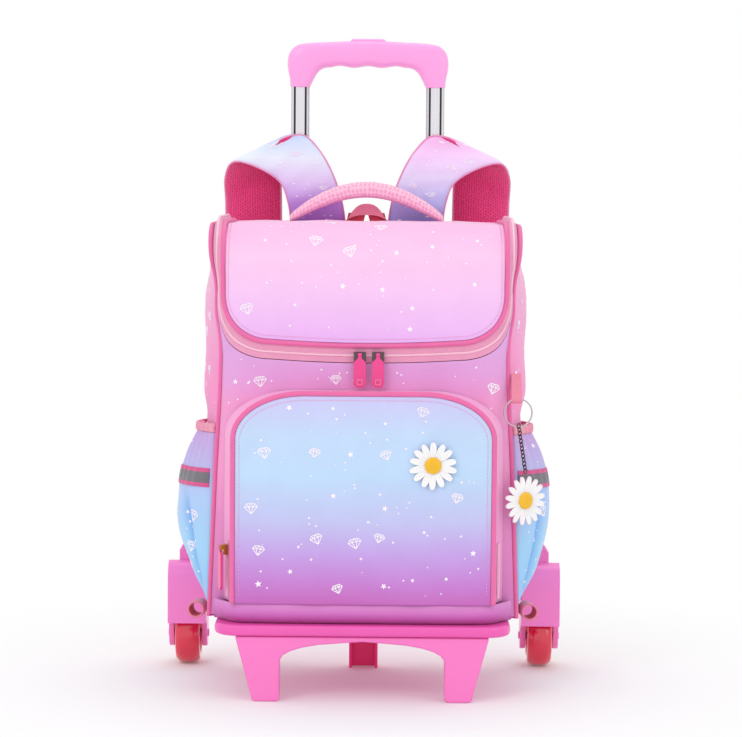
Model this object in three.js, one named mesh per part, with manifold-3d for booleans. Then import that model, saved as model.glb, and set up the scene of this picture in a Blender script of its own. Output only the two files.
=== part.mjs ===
// Children's wheeled backpack: a soft bag with a zipped lid on a moulded trolley.
// Millimetres, +Z up. The front faces -Y and +X is on the right as seen from the front.
import * as THREE from 'three';
import { mergeVertices } from 'three/addons/utils/BufferGeometryUtils.js';
import ManifoldModule from 'manifold-3d';

const wasm = await ManifoldModule();
wasm.setup();

// Gaps and walls
const fit = 0.3;
const seamGap = 0.5;
const runningGap = 0.5;
const clothWall = 2;
const lidWall = 3.5;
const tapeWall = 1.2;

// Bag body
const bagFloor = 77;
const bagHeight = 391;
const bagFront = -80;
const bagBack = 79;
const backPanelWall = 13;
const backPanelHalf = 155;
const sideBackHalf = 156;
const sideBulge = 8;
const frontHalf = 151;
const lidRadius = 42;
const edgeRadius = 26;
const cornerRise = 5;
const pipingRadius = 2.6;

// Lid flap and its zip
const flapTopHalf = 134;
const flapLowHalf = 139;
const flapCorner = 45;
const flapHem = 350;
const flapSag = 3.4;
const tapeWidth = 4.8;
const coilRadius = 1.6;
const sliderSpacing = 18;
const sliderShift = 4.5;
const sliderWidth = 12;
const sliderHeight = 10;
const sliderDepth = 3.5;
const lugDepth = 4;
const lugWall = 1.6;
const hingeRadius = 0.9;
const pullerWidth = 12;
const pullerLength = 32;
const pullerWall = 2.4;

// Front pocket
const pocketFront = -112;
const pocketTop = 304;
const pocketSeam = 97;
const pocketHalf = 128;
const pocketBaseHalf = 138;
const pocketCornerWide = 70;
const pocketCornerTall = 45;
const pocketBelly = 5;
const bandBelly = 3;
const pocketZipTop = 156;
const pocketZipLow = 101;
const pocketZipWidth = 7;
const pocketPullerLength = 42;
const pocketPullerWidth = 9;

// Side pockets
const sidePocketLow = 92;
const sidePocketTop = 254;
const sidePocketBulge = 28;
const sidePocketBack = 58;
const hemHeight = 10;
const hemWall = 3;
const bandLow = 198;
const bandHeight = 20;
const bandWall = 0.8;

// Handles, straps and loops
const handleHalf = 79;
const handleY = 60;
const handleRise = 33;
const handleWide = 10;
const handleThick = 7.5;
const hangY = 74.5;
const hangHalf = 24;
const hangRise = 16;
const webbingWall = 1.8;
const strapReach = 150;
const strapRise = 91;
const strapDrop = 288;
const strapDepth = 54;
const strapPad = 4.5;
const cornerLoopSize = 7.5;
const cornerLoopWide = 9;

// Daisies and keychain
const daisyRadius = 24;
const daisyHeart = 8.5;
const daisyPetals = 14;
const daisyWall = 2.2;
const daisyFromSide = 60;
const daisyFromTop = 69;
const charmRadius = 25.5;
const charmPetals = 16;
const charmHeart = 9;
const charmWall = 3;
const charmTurn = THREE.MathUtils.degToRad(36);
const charmPlace = new THREE.Vector3(160, -84, 197.5);
const tabHeight = 318;
const tabWidth = 10;
const tabGap = 3;
const ringRadius = 14;
const ringWire = 1.1;
const ringPlace = new THREE.Vector3(152, -80.5, 284);
const linkRadius = 3.2;
const linkWire = 0.75;
const linkCount = 7;
const eyeRadius = 2.6;
const eyeWire = 0.9;

// Trolley
const plateLow = 65;
const plateHalf = 146;
const plateFront = -118;
const plateBack = 80;
const plateCorner = 20;
const plateBevel = 4;
const footFront = -114;
const footDepth = 26;
const footOuterTop = 125;
const footOuterLow = 109;
const footInner = 81;
const archSide = 41;
const archTop = 59.8;
const rearFootHalf = 15;
const rearFootFront = 72;
const rearFootDepth = 18;
const mouldWall = 3;
const boardFront = 82.3;
const boardWall = 10;
const boardTop = 255;
const boardWide = 194;
const boardWingLow = 122;
const boardWingTop = 142;
const boardWingSlope = 24;
const boardWaist = 158;
const socketTop = 112;
const wheelRadius = 32;
const wheelWidth = 26;
const wheelX = 185;
const axleY = 100;
const axleRadius = 4;
const wheelGap = 1.5;
const cheekWall = 5.5;
const housingFront = 64;
const housingTop = 110;
const housingLow = 47;
const cheekLow = 18;
const tubeX = 70.5;
const tubeY = 106;
const outerTubeWide = 22;
const outerTubeDeep = 14;
const tubeWall = 1.2;
const grooveWide = 2;
const grooveDeep = 0.8;
const outerTubeLow = 62;
const outerTubeTop = 463;
const innerTubeLow = 214;
const bracketHalf = 86;
const bracketHeight = 22;
const bracketRise = 3;
const gripTop = 656;
const gripBar = 27;
const gripLegDrop = 21;
const gripShoulder = 26;
const gripCrown = 4;
const gripHalf = 84;
const gripLegOuter = 81;
const gripLegInner = 59;
const gripArchHalf = 52;
const gripDepth = 26;
const gripRound = 6;
const gripWave = 1.6;
const gripSocket = 12;
const buttonHalf = 18.5;
const buttonDepth = 12;
const buttonHeight = 9;
const buttonRise = 2;
const buttonTravel = 1.8;

// Worked out from the sizes above
const bagTop = bagFloor + bagHeight;
const lidBack = bagBack - backPanelWall - fit;
const plateTop = bagFloor - fit;
const daisyX = pocketHalf - daisyFromSide;
const daisyZ = pocketTop - daisyFromTop;
const gripUnder = gripTop - gripBar;
const gripLow = gripUnder - gripLegDrop;
const sheen = {
  cloth: { roughness: 0.8, metalness: 0 },
  mould: { roughness: 0.4, metalness: 0 },
  metal: { roughness: 0.3, metalness: 0.9 },
};
const paint = {
  lid: 0xf6c6ee,
  body: 0xe2a4dc,
  side: 0xf3a5cf,
  low: 0xcf7cc8,
  sky: 0xb9cdf3,
  lilac: 0xc9aee8,
  piping: 0xf47fb6,
  tape: 0xf9bcd4,
  mesh: 0xd84a84,
  salmon: 0xf29aa8,
  plastic: 0xfb78bf,
  deep: 0xd9186d,
  wheel: 0xc92244,
  silver: 0xc8c6cc,
  dark: 0x6b6468,
  gold: 0xc79a54,
  white: 0xfbfbfb,
  yellow: 0xf2b705,
  reflect: 0x75727c,
};

const group = new THREE.Group();

// A closed solid from positions and triangles, turned so that its faces point out.
function closed(positions, index) {
  let volume = 0;
  const a = new THREE.Vector3();
  const b = new THREE.Vector3();
  const c = new THREE.Vector3();
  for (let i = 0; i < index.length; i += 3) {
    a.fromArray(positions, index[i] * 3);
    b.fromArray(positions, index[i + 1] * 3);
    c.fromArray(positions, index[i + 2] * 3);
    volume += a.dot(b.cross(c));
  }
  const turned = volume < 0 ? index.slice().reverse() : index;
  const geometry = new THREE.BufferGeometry();
  geometry.setAttribute('position', new THREE.Float32BufferAttribute(positions, 3));
  geometry.setIndex(turned);
  return geometry;
}

// Adds one named piece to the group.
function piece(name, geometry, colour, look = sheen.cloth) {
  const material = new THREE.MeshStandardMaterial({ color: colour, ...look });
  const mesh = new THREE.Mesh(geometry, material);
  mesh.name = name;
  group.add(mesh);
  return mesh;
}

// Booleans
function toManifold(geometry) {
  const bare = geometry.clone();
  bare.deleteAttribute('normal');
  bare.deleteAttribute('uv');
  const merged = mergeVertices(bare, 1e-4);
  return new wasm.Manifold(new wasm.Mesh({
    numProp: 3,
    vertProperties: new Float32Array(merged.attributes.position.array),
    triVerts: new Uint32Array(merged.index.array),
  }));
}

function fromManifold(solid) {
  const mesh = solid.getMesh();
  const geometry = new THREE.BufferGeometry();
  geometry.setAttribute('position', new THREE.BufferAttribute(mesh.vertProperties, 3));
  geometry.setIndex(new THREE.BufferAttribute(mesh.triVerts, 1));
  return geometry;
}

function joined(parts) {
  return parts.map(toManifold).reduce((all, part) => all.add(part));
}

function cutFrom(body, parts) {
  return fromManifold(parts.map(toManifold).reduce((left, part) => left.subtract(part), body));
}

// A box given by its low and high corners.
function block(low, high) {
  const size = high.map((value, axis) => value - low[axis]);
  const geometry = new THREE.BoxGeometry(...size);
  return geometry.translate(...low.map((value, axis) => value + size[axis] / 2));
}

// A round bar along X.
function barX(x0, x1, y, z, radius, sides = 20) {
  const geometry = new THREE.CylinderGeometry(radius, radius, x1 - x0, sides);
  return geometry.rotateZ(Math.PI / 2).translate((x0 + x1) / 2, y, z);
}

// A solid through equal loops of points; closed rings have no caps.
function loft(sections, ring = false) {
  const count = sections[0].length;
  const positions = sections.flat().flatMap((point) => point.toArray());
  const index = [];
  const spans = ring ? sections.length : sections.length - 1;
  for (let i = 0; i < spans; i += 1) {
    const here = i * count;
    const next = ((i + 1) % sections.length) * count;
    for (let j = 0; j < count; j += 1) {
      const k = (j + 1) % count;
      index.push(here + j, next + j, next + k, here + j, next + k, here + k);
    }
  }
  if (!ring) {
    const last = (sections.length - 1) * count;
    for (let j = 1; j < count - 1; j += 1) {
      index.push(0, j, j + 1);
      index.push(last, last + j + 1, last + j);
    }
  }
  return closed(positions, index);
}

// A wall between an outer and an inner surface, both functions of two shares from 0 to 1.
function wall(rows, columns, outer, inner) {
  const positions = [];
  const index = [];
  for (const face of [outer, inner]) {
    for (let i = 0; i <= rows; i += 1) {
      for (let j = 0; j <= columns; j += 1) {
        positions.push(...face(i / rows, j / columns).toArray());
      }
    }
  }
  const width = columns + 1;
  const layer = (rows + 1) * width;
  const quad = (a, b, c, d) => index.push(a, b, c, a, c, d);
  for (let i = 0; i < rows; i += 1) {
    for (let j = 0; j < columns; j += 1) {
      const at = i * width + j;
      quad(at, at + 1, at + width + 1, at + width);
      quad(layer + at, layer + at + width, layer + at + width + 1, layer + at + 1);
    }
  }
  for (let i = 0; i < rows; i += 1) {
    const at = i * width;
    quad(at, at + width, at + layer + width, at + layer);
    const end = at + columns;
    quad(end, end + layer, end + layer + width, end + width);
  }
  for (let j = 0; j < columns; j += 1) {
    quad(j, j + layer, j + layer + 1, j + 1);
    const end = rows * width + j;
    quad(end, end + 1, end + layer + 1, end + layer);
  }
  return closed(positions, index);
}

const roundSection = (sides) => Array.from({ length: sides }, (unused, i) => {
  const angle = ((i + 0.5) / sides) * Math.PI * 2;
  return [Math.cos(angle), Math.sin(angle)];
});
const flatSection = [[-1, -1], [1, -1], [1, 1], [-1, 1]];
const padSection = [
  [-1, -0.3], [-0.9, -0.9], [0, -1.1], [0.9, -0.9], [1, -0.3],
  [1, 0.3], [0.9, 0.9], [0, 1.1], [-0.9, 0.9], [-1, 0.3],
];

// One loop of points: a centre, half the width and half the thickness as vectors.
function section(centre, across, thick, outline) {
  return outline.map(([u, v]) => centre.clone().addScaledVector(across, u).addScaledVector(thick, v));
}

// A round cord through points, with frames carried along it.
function cord(points, radius, sides, ring = false) {
  const outline = roundSection(sides);
  const last = points.length - 1;
  let across = null;
  const loops = points.map((point, i) => {
    const before = ring ? points[(i + last) % points.length] : points[Math.max(i - 1, 0)];
    const after = ring ? points[(i + 1) % points.length] : points[Math.min(i + 1, last)];
    const along = after.clone().sub(before).normalize();
    if (!across) {
      const guide = Math.abs(along.z) < 0.8 ? new THREE.Vector3(0, 0, 1) : new THREE.Vector3(0, 1, 0);
      across = guide;
    }
    across = across.clone().addScaledVector(along, -across.dot(along)).normalize();
    const thick = along.clone().cross(across);
    return section(point, across.clone().multiplyScalar(radius), thick.multiplyScalar(radius), outline);
  });
  return loft(loops, ring);
}

// A flat outline in X and Z, as thick as it is deep along Y.
function plateXZ(shape, yFront, yBack, options = {}) {
  const depth = yBack - yFront;
  const geometry = new THREE.ExtrudeGeometry(shape, { depth, bevelEnabled: false, ...options });
  return geometry.rotateX(Math.PI / 2).translate(0, yBack, 0);
}

// Smooth value of one column of a table, at a share between its rows.
function fromTable(table, column, share) {
  const last = table.length - 1;
  let i = 0;
  while (i < last - 1 && share > table[i + 1].at) {
    i += 1;
  }
  const t = THREE.MathUtils.clamp((share - table[i].at) / (table[i + 1].at - table[i].at), 0, 1);
  const slope = (k) => {
    const low = table[Math.max(k - 1, 0)];
    const high = table[Math.min(k + 1, last)];
    return (high[column] - low[column]) / (high.at - low.at);
  };
  const span = table[i + 1].at - table[i].at;
  const a = table[i][column];
  const b = table[i + 1][column];
  const cube = t * t * (3 - 2 * t);
  const bow = t * (1 - t) * span * ((1 - t) * slope(i) - t * slope(i + 1));
  return a + (b - a) * cube + bow;
}

// Front and lid of the bag

// How far the front edge turns back, in radians, and its half width as a share of frontHalf,
// at shares of the bag's height.
const frontTable = [
  { at: 0, turn: 0.9, half: 1 },
  { at: 0.072, turn: 0.9, half: 0.993 },
  { at: 0.379, turn: 0.9, half: 0.96 },
  { at: 0.57, turn: 1.0, half: 0.935 },
  { at: 0.655, turn: 1.05, half: 0.93 },
  { at: 0.698, turn: 1.12, half: 0.93 },
  { at: 0.739, turn: 1.27, half: 0.935 },
  { at: 0.822, turn: 1.5, half: 0.93 },
  { at: 0.895, turn: 1.3, half: 0.9 },
  { at: 1, turn: 0.73, half: 0.9 },
];
const topRun = lidBack - (bagFront + lidRadius);
const bendRun = (lidRadius * Math.PI) / 2;
const frontRunEnd = topRun + bendRun + (bagTop - lidRadius - bagFloor) - fit;
const runAt = (z) => topRun + bendRun + (bagTop - lidRadius - z);
const zipInner = 2 * pipingRadius + fit + seamGap;
const coilOffset = zipInner + tapeWidth + fit + coilRadius;
const zipOuterStart = coilOffset + coilRadius + fit;
const zipOuter = zipOuterStart + tapeWidth;
const cornerRun = runAt(flapHem) - flapSag - flapCorner;

// The bag's side outline: from the back edge over the lid, round the front and down.
function outline(run) {
  if (run <= topRun) {
    return { y: lidBack - run, z: bagTop, ny: 0, nz: 1 };
  }
  const angle = Math.min((run - topRun) / lidRadius, Math.PI / 2);
  const ny = -Math.sin(angle);
  const nz = Math.cos(angle);
  const y = bagFront + lidRadius + lidRadius * ny;
  const z = bagTop - lidRadius + lidRadius * nz - Math.max(0, run - topRun - bendRun);
  return { y, z, ny, nz };
}

// Half width of the flap's edge line, moved out by an offset, at a run along the outline.
function edgeHalf(run, offset) {
  if (run <= cornerRun) {
    return flapTopHalf + ((flapLowHalf - flapTopHalf) * run) / cornerRun + offset;
  }
  const radius = flapCorner + offset;
  const fall = Math.min((run - cornerRun) / radius, 1);
  return flapLowHalf - flapCorner + radius * Math.sqrt(1 - fall * fall);
}

// Cross section of the front at a run: its half length along the cloth, where it is still flat,
// and how far it turns.
function crossSection(run) {
  const share = (outline(run).z - bagFloor) / bagHeight;
  const turn = fromTable(frontTable, 'turn', share);
  const bend = edgeRadius * turn;
  const lowHalf = frontHalf * fromTable(frontTable, 'half', share) + bend - edgeRadius * Math.sin(turn);
  const half = Math.max(edgeHalf(run, zipOuter + seamGap), lowHalf);
  return { half, flat: half - bend, turn };
}

// A point on the bag's front and lid: across is measured along the cloth from the middle,
// run along the outline from the back edge, lift is the height over the cloth.
function skin(across, run, lift = 0) {
  const at = outline(run);
  const { flat, turn } = crossSection(run);
  const reach = Math.abs(across);
  const angle = Math.max(0, (reach - flat) / edgeRadius);
  const share = Math.min(angle / turn, 1);
  const rise = cornerRise * Math.max(0, at.nz) * Math.sin(Math.PI * share) ** 2;
  const x = Math.min(reach, flat) + edgeRadius * Math.sin(angle) + lift * Math.sin(angle);
  const out = rise + lift * Math.cos(angle) - edgeRadius * (1 - Math.cos(angle));
  return new THREE.Vector3(Math.sign(across) * x, at.y + at.ny * out, at.z + at.nz * out);
}

// Stations along the outline, close together where it bends.
function stations(from, to) {
  const bend = Array.from({ length: 5 }, (unused, i) => topRun + (bendRun * i) / 4);
  const marks = [from, topRun / 2, ...bend, to].filter((run) => run >= from && run <= to);
  return [...new Set(marks)].sort((a, b) => a - b);
}

// The flap's edge line, moved out by an offset: down one side, round and up the other.
function edgePath(offset) {
  const side = stations(0, cornerRun).map((run) => [-edgeHalf(run, offset), run]);
  const corner = Array.from({ length: 5 }, (unused, i) => {
    const angle = ((i + 1) / 6) * (Math.PI / 2);
    const radius = flapCorner + offset;
    return [
      -(flapLowHalf - flapCorner) - radius * Math.cos(angle),
      cornerRun + radius * Math.sin(angle),
    ];
  });
  const half = flapLowHalf - flapCorner;
  const bottom = Array.from({ length: 4 }, (unused, i) => {
    const across = -half + (half * i) / 3;
    return [across, lowEdge(across, offset)];
  });
  const left = [...side, ...corner, ...bottom];
  const right = left.slice(0, -1).reverse().map(([across, run]) => [-across, run]);
  return [...left, ...right];
}

// The run of the flap's low edge, moved out by an offset.
function lowEdge(across, offset) {
  const half = flapLowHalf - flapCorner;
  const radius = flapCorner + offset;
  const beyond = Math.max(0, Math.abs(across) - half);
  const sag = flapSag * (1 - Math.min(Math.abs(across) / half, 1) ** 2);
  return cornerRun + Math.sqrt(Math.max(0, radius * radius - beyond * beyond)) + sag;
}

// A tape on the skin between two offsets from the flap's edge.
function skinTape(inner, outer, high, low) {
  const a = edgePath(inner);
  const b = edgePath(outer);
  return loft(a.map((point, i) => [
    skin(...point, high), skin(...b[i], high), skin(...b[i], low), skin(...point, low),
  ]));
}

// A cord on the skin along the flap's edge.
function skinCord(offset, lift, radius, sides) {
  return cord(edgePath(offset).map((point) => skin(...point, lift)), radius, sides);
}

const flapRows = 14;
const flapColumns = [-1, -0.93, -0.84, -0.6, 0, 0.6, 0.84, 0.93, 1];
function flapPoint(v, u, lift) {
  const marks = [...stations(0, cornerRun)];
  const steps = flapRows - marks.length + 1;
  const side = flapColumns[Math.round(u * (flapColumns.length - 1))];
  const row = Math.round(v * flapRows);
  if (row < marks.length) {
    return skin(side * edgeHalf(marks[row], 0), marks[row], lift);
  }
  const angle = ((row - marks.length + 1) / steps) * (Math.PI / 2);
  const run = cornerRun + flapCorner * Math.sin(angle);
  const across = side * (flapLowHalf - flapCorner + flapCorner * Math.cos(angle));
  const sag = (lowEdge(across, 0) - cornerRun - flapCorner) * Math.sin(angle) ** 4;
  return skin(across, run + Math.max(0, sag), lift);
}

piece(
  'lid_flap',
  wall(
    flapRows,
    flapColumns.length - 1,
    (v, u) => flapPoint(v, u, 0),
    (v, u) => flapPoint(v, u, -lidWall),
  ),
  paint.lid,
);
piece('flap_piping', skinCord(pipingRadius + fit, 0.4, pipingRadius, 6), paint.piping);
piece('zip_tape_inner', skinTape(zipInner, zipInner + tapeWidth, -0.4, -0.4 - tapeWall), paint.tape);
piece('zip_coil', skinCord(coilOffset, -0.6, coilRadius, 6), paint.tape);
piece('zip_tape_outer', skinTape(zipOuterStart, zipOuter, -0.4, -0.4 - tapeWall), paint.tape);

// Front panel, below the zip
const panelTop = (side) => {
  let run = cornerRun + flapCorner + zipOuter;
  for (let i = 0; i < 12; i += 1) {
    run = lowEdge(side * crossSection(run).half, zipOuter + 2 * seamGap);
  }
  return run;
};
const halfColumns = [0, 0.35, 0.59, 0.71, 0.81, 0.89, 0.95, 0.985, 1];
const frontColumns = [...halfColumns.slice(1).reverse().map((share) => -share), ...halfColumns];
const panelEnd = frontRunEnd - clothWall - fit;
const frontShares = [0.71, 0.655, 0.55, 0.38, 0.18];
const cornerTop = panelTop(1);
const frontRows = [
  0,
  ...frontShares.map((share) => (runAt(bagFloor + share * bagHeight) - cornerTop) / (panelEnd - cornerTop)),
  1,
];
function frontPoint(v, u, lift) {
  const side = frontColumns[Math.round(u * (frontColumns.length - 1))];
  const top = panelTop(side);
  const run = top + (panelEnd - top) * frontRows[Math.round(v * (frontRows.length - 1))];
  return skin(side * crossSection(run).half, run, lift);
}
piece(
  'front_panel',
  wall(
    frontRows.length - 1,
    frontColumns.length - 1,
    (v, u) => frontPoint(v, u, 0),
    (v, u) => frontPoint(v, u, -clothWall),
  ),
  paint.body,
);

// Side panels and the piping between them and the front

// The seam at the front's edge: the piping's middle and the start of the side panel.
function seam(run) {
  const { half, turn } = crossSection(run);
  const at = outline(run);
  const edge = skin(half, run);
  const step = pipingRadius + seamGap;
  const fall = step * Math.sin(turn);
  const centre = new THREE.Vector3(
    edge.x + step * Math.cos(turn),
    edge.y - at.ny * fall,
    edge.z - at.nz * fall,
  );
  const start = centre.clone().add(new THREE.Vector3(0, -at.ny * step, -at.nz * step));
  start.x += pipingRadius / 2;
  return { centre, start };
}

const seamRuns = [
  ...stations(0, runAt(flapHem + 49)),
  ...[0.76, ...frontShares].map((share) => runAt(bagFloor + share * bagHeight)),
  frontRunEnd,
];
const sideRuns = seamRuns.filter((run) => run >= topRun);
const sideRows = sideRuns.length - 1;
const sideColumns = 6;

// A point on the outer face of the left (-1) or right (1) side panel.
function sidePoint(side, run, share, lift) {
  const { start } = seam(run);
  const height = (start.z - bagFloor) / bagHeight;
  const belly = sideBulge * Math.sin(Math.PI * (0.1 + 0.8 * height)) * Math.sin(Math.PI * share);
  const x = THREE.MathUtils.lerp(start.x, sideBackHalf, share) + belly + lift;
  return new THREE.Vector3(side * x, THREE.MathUtils.lerp(start.y, lidBack, share), start.z);
}

// The run whose side panel row lies at a height.
function runAtHeight(z) {
  let low = topRun;
  let high = frontRunEnd;
  for (let i = 0; i < 40; i += 1) {
    const middle = (low + high) / 2;
    if (seam(middle).start.z > z) {
      low = middle;
    } else {
      high = middle;
    }
  }
  return (low + high) / 2;
}

for (const [name, side] of [['left', -1], ['right', 1]]) {
  const row = (v) => sideRuns[Math.round(v * sideRows)];
  piece(
    `side_panel_${name}`,
    wall(
      sideRows,
      sideColumns,
      (v, u) => sidePoint(side, row(v), u, 0),
      (v, u) => sidePoint(side, row(v), u, -clothWall),
    ),
    paint.side,
  );
  const middle = seamRuns.map((run) => seam(run).centre.multiply(new THREE.Vector3(side, 1, 1)));
  piece(`body_piping_${name}`, cord(middle, pipingRadius, 6), paint.piping);
}

// Back panel
function roundedRect(half, low, high, radius) {
  const shape = new THREE.Shape();
  shape.moveTo(-half + radius, low);
  shape.lineTo(half - radius, low);
  shape.absarc(half - radius, low + radius, radius, -Math.PI / 2, 0);
  shape.absarc(half - radius, high - radius, radius, 0, Math.PI / 2);
  shape.absarc(-half + radius, high - radius, radius, Math.PI / 2, Math.PI);
  shape.absarc(-half + radius, low + radius, radius, Math.PI, Math.PI * 1.5);
  return shape;
}
const backBevel = 4;
piece(
  'back_panel',
  plateXZ(
    roundedRect(backPanelHalf - backBevel, bagFloor + backBevel, bagTop - fit - backBevel, 12),
    bagBack - backPanelWall + backBevel,
    bagBack - backBevel,
    {
      bevelEnabled: true,
      bevelThickness: backBevel,
      bevelSize: backBevel,
      bevelSegments: 2,
      curveSegments: 3,
    },
  ),
  paint.side,
);

// Low band in front of the bag's bottom, seen in plan from one side piping to the other
const bandEnd = seam(runAt(bagFloor + 10)).centre;
const bandPlan = new THREE.CatmullRomCurve3([
  new THREE.Vector3(-bandEnd.x + 2 * pipingRadius, bandEnd.y - 4 * pipingRadius, 0),
  new THREE.Vector3(-pocketBaseHalf - 3, (bandEnd.y + pocketFront) / 2, 0),
  new THREE.Vector3(-pocketHalf + 2, pocketFront + 4, 0),
  new THREE.Vector3(-pocketHalf * 0.8, pocketFront, 0),
  new THREE.Vector3(-pocketHalf * 0.4, pocketFront - 1, 0),
  new THREE.Vector3(0, pocketFront - 1, 0),
  new THREE.Vector3(pocketHalf * 0.4, pocketFront - 1, 0),
  new THREE.Vector3(pocketHalf * 0.8, pocketFront, 0),
  new THREE.Vector3(pocketHalf - 2, pocketFront + 4, 0),
  new THREE.Vector3(pocketBaseHalf + 3, (bandEnd.y + pocketFront) / 2, 0),
  new THREE.Vector3(bandEnd.x - 2 * pipingRadius, bandEnd.y - 4 * pipingRadius, 0),
], false, 'centripetal');
function bandPoint(v, u, inset) {
  const point = bandPlan.getPoint(u);
  const along = bandPlan.getTangent(u);
  const outward = new THREE.Vector3(along.y, -along.x, 0);
  const low = bagFloor + fit;
  const belly = bandBelly * Math.sin(Math.PI * v) * Math.sin(Math.PI * u) ** 0.3;
  const tuck = 6 * (1 - v) ** 3 * Math.sin(Math.PI * u) ** 0.3;
  point.addScaledVector(outward, belly - tuck - inset);
  point.z = low + (pocketSeam - fit - low) * v;
  return point;
}
piece(
  'bottom_band',
  wall(3, 20, (v, u) => bandPoint(v, u, 0), (v, u) => bandPoint(v, u, clothWall)),
  paint.low,
);

// Bottom panel, inside the band and the side panels
function planShape(inset) {
  const shape = new THREE.Shape();
  const sideHalf = sidePoint(1, frontRunEnd, 0, -clothWall).x - fit;
  shape.moveTo(-sideHalf, lidBack - fit);
  shape.lineTo(-sideHalf, seam(frontRunEnd).start.y);
  for (let i = 1; i < 20; i += 1) {
    const point = bandPoint(0, i / 20, inset);
    shape.lineTo(point.x, point.y);
  }
  shape.lineTo(sideHalf, seam(frontRunEnd).start.y);
  shape.lineTo(sideHalf, lidBack - fit);
  shape.closePath();
  return shape;
}
const bottomGeometry = new THREE.ExtrudeGeometry(planShape(clothWall + 2.2), {
  depth: clothWall,
  bevelEnabled: false,
});
piece('bottom_panel', bottomGeometry.translate(0, 0, bagFloor), paint.low);

// Front pocket

// The pocket's outline as seen from the front: up the left side, over and down the right.
function pocketOutline(share, half, top, cornerWide, cornerTall) {
  const low = pocketSeam;
  const lengths = [0.28, 0.16, 0.12, 0.16, 0.28];
  const marks = [0, 0.28, 0.44, 0.56, 0.72, 1];
  const part = share >= 1 ? 4 : marks.findIndex((mark, i) => share >= mark && share < marks[i + 1]);
  const t = (share - marks[part]) / lengths[part];
  const flat = half - cornerWide;
  const shoulder = top - cornerTall;
  const arc = t * (Math.PI / 2);
  const parts = [
    () => [-half, low + (shoulder - low) * t],
    () => [-flat - cornerWide * Math.cos(arc), shoulder + cornerTall * Math.sin(arc)],
    () => [-flat + 2 * flat * t, top],
    () => [flat + cornerWide * Math.sin(arc), shoulder + cornerTall * Math.cos(arc)],
    () => [half, shoulder + (low - shoulder) * t],
  ];
  return parts[part]();
}
const gussetFront = pocketFront + pipingRadius + 2 * fit + 1;
function gussetPoint(share, depth, inset) {
  const [xBase, zBase] = pocketOutline(
    share, pocketBaseHalf - inset, pocketTop + 1 - inset, pocketCornerWide - inset, pocketCornerTall - inset,
  );
  const [xFront, zFront] = pocketOutline(
    share, pocketHalf - inset, pocketTop - inset, pocketCornerWide - inset, pocketCornerTall - inset,
  );
  const base = skin(xBase, runAt(zBase), 2 * seamGap);
  const front = new THREE.Vector3(xFront, gussetFront, zFront);
  return base.lerp(front, depth);
}
piece(
  'pocket_gusset',
  wall(25, 2, (u, v) => gussetPoint(u, v, 0), (u, v) => gussetPoint(u, v, clothWall)),
  paint.body,
);
const pipingPath = Array.from({ length: 26 }, (unused, i) => {
  const [x, z] = pocketOutline(i / 25, pocketHalf, pocketTop, pocketCornerWide, pocketCornerTall);
  return new THREE.Vector3(x, pocketFront, z);
});
piece('pocket_piping', cord(pipingPath, pipingRadius, 6), paint.piping);

const pocketRows = 10;
const pocketColumns = [-1, -0.82, -0.6, -0.3, 0, 0.3, 0.6, 0.82, 1];
const bulgeAt = (side, height) => (
  pocketBelly * (1 - side * side) * Math.sin(Math.PI * (0.15 + 0.85 * height)) ** 0.7
);
function pocketPoint(v, u, lift) {
  const half = pocketHalf - pipingRadius - seamGap;
  const top = pocketTop - pipingRadius - seamGap;
  const shoulder = top - pocketCornerTall;
  const straight = 4;
  const row = Math.round(v * pocketRows);
  const angle = (Math.max(0, row - straight) / (pocketRows - straight)) * (Math.PI / 2);
  const z = row <= straight
    ? pocketSeam + ((shoulder - pocketSeam) * row) / straight
    : shoulder + pocketCornerTall * Math.sin(angle);
  const width = half - pocketCornerWide + pocketCornerWide * Math.cos(angle);
  const side = pocketColumns[Math.round(u * (pocketColumns.length - 1))];
  const height = (z - pocketSeam) / (top - pocketSeam);
  const belly = height < 0.999 ? bulgeAt(side, height) : 0;
  return new THREE.Vector3(side * width, pocketFront - belly - lift, z);
}
piece(
  'pocket_front',
  wall(
    pocketRows,
    pocketColumns.length - 1,
    (v, u) => pocketPoint(v, u, clothWall / 2),
    (v, u) => pocketPoint(v, u, -clothWall / 2),
  ),
  paint.sky,
);

// A zip along each side of the pocket, and the slider and puller of the left one
function gussetFrame(side, z, depth) {
  const share = (0.28 * (z - pocketSeam)) / (pocketTop - pocketCornerTall - pocketSeam);
  const at = side < 0 ? share : 1 - share;
  const place = gussetPoint(at, depth, 0);
  const along = gussetPoint(at, 1, 0).sub(gussetPoint(at, 0, 0)).setZ(0).normalize();
  const outward = new THREE.Vector3(-along.y, along.x, 0).multiplyScalar(Math.sign(-along.y * side));
  return { place, along, outward };
}
const pocketZipDepth = 0.52;
for (const [name, side] of [['left', -1], ['right', 1]]) {
  const loops = [pocketZipLow, (pocketZipLow + pocketZipTop) / 2, pocketZipTop].map((z) => {
    const { place, along, outward } = gussetFrame(side, z, pocketZipDepth);
    place.addScaledVector(outward, fit + tapeWall / 2);
    const across = along.multiplyScalar(pocketZipWidth / 2);
    return section(place, across, outward.multiplyScalar(tapeWall / 2), flatSection);
  });
  piece(`pocket_zip_${name}`, loft(loops), paint.tape);
}

// A slider with two lugs and a hinge bar, its back at Y = 0 and its hinge bar along X at Z = 0.
const hingeY = -(sliderDepth + 2.6);
function sliderSolid(width, height) {
  const lugHalf = width * 0.32;
  const top = height * 0.3;
  const parts = [
    block([-width / 2, -sliderDepth, top - height], [width / 2, 0, top]),
    block([-lugHalf, -sliderDepth - lugDepth, -2], [-lugHalf + lugWall, -sliderDepth / 2, 2]),
    block([lugHalf - lugWall, -sliderDepth - lugDepth, -2], [lugHalf, -sliderDepth / 2, 2]),
    barX(-lugHalf + lugWall / 2, lugHalf - lugWall / 2, hingeY, 0, hingeRadius, 10),
  ];
  return fromManifold(joined(parts));
}

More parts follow.
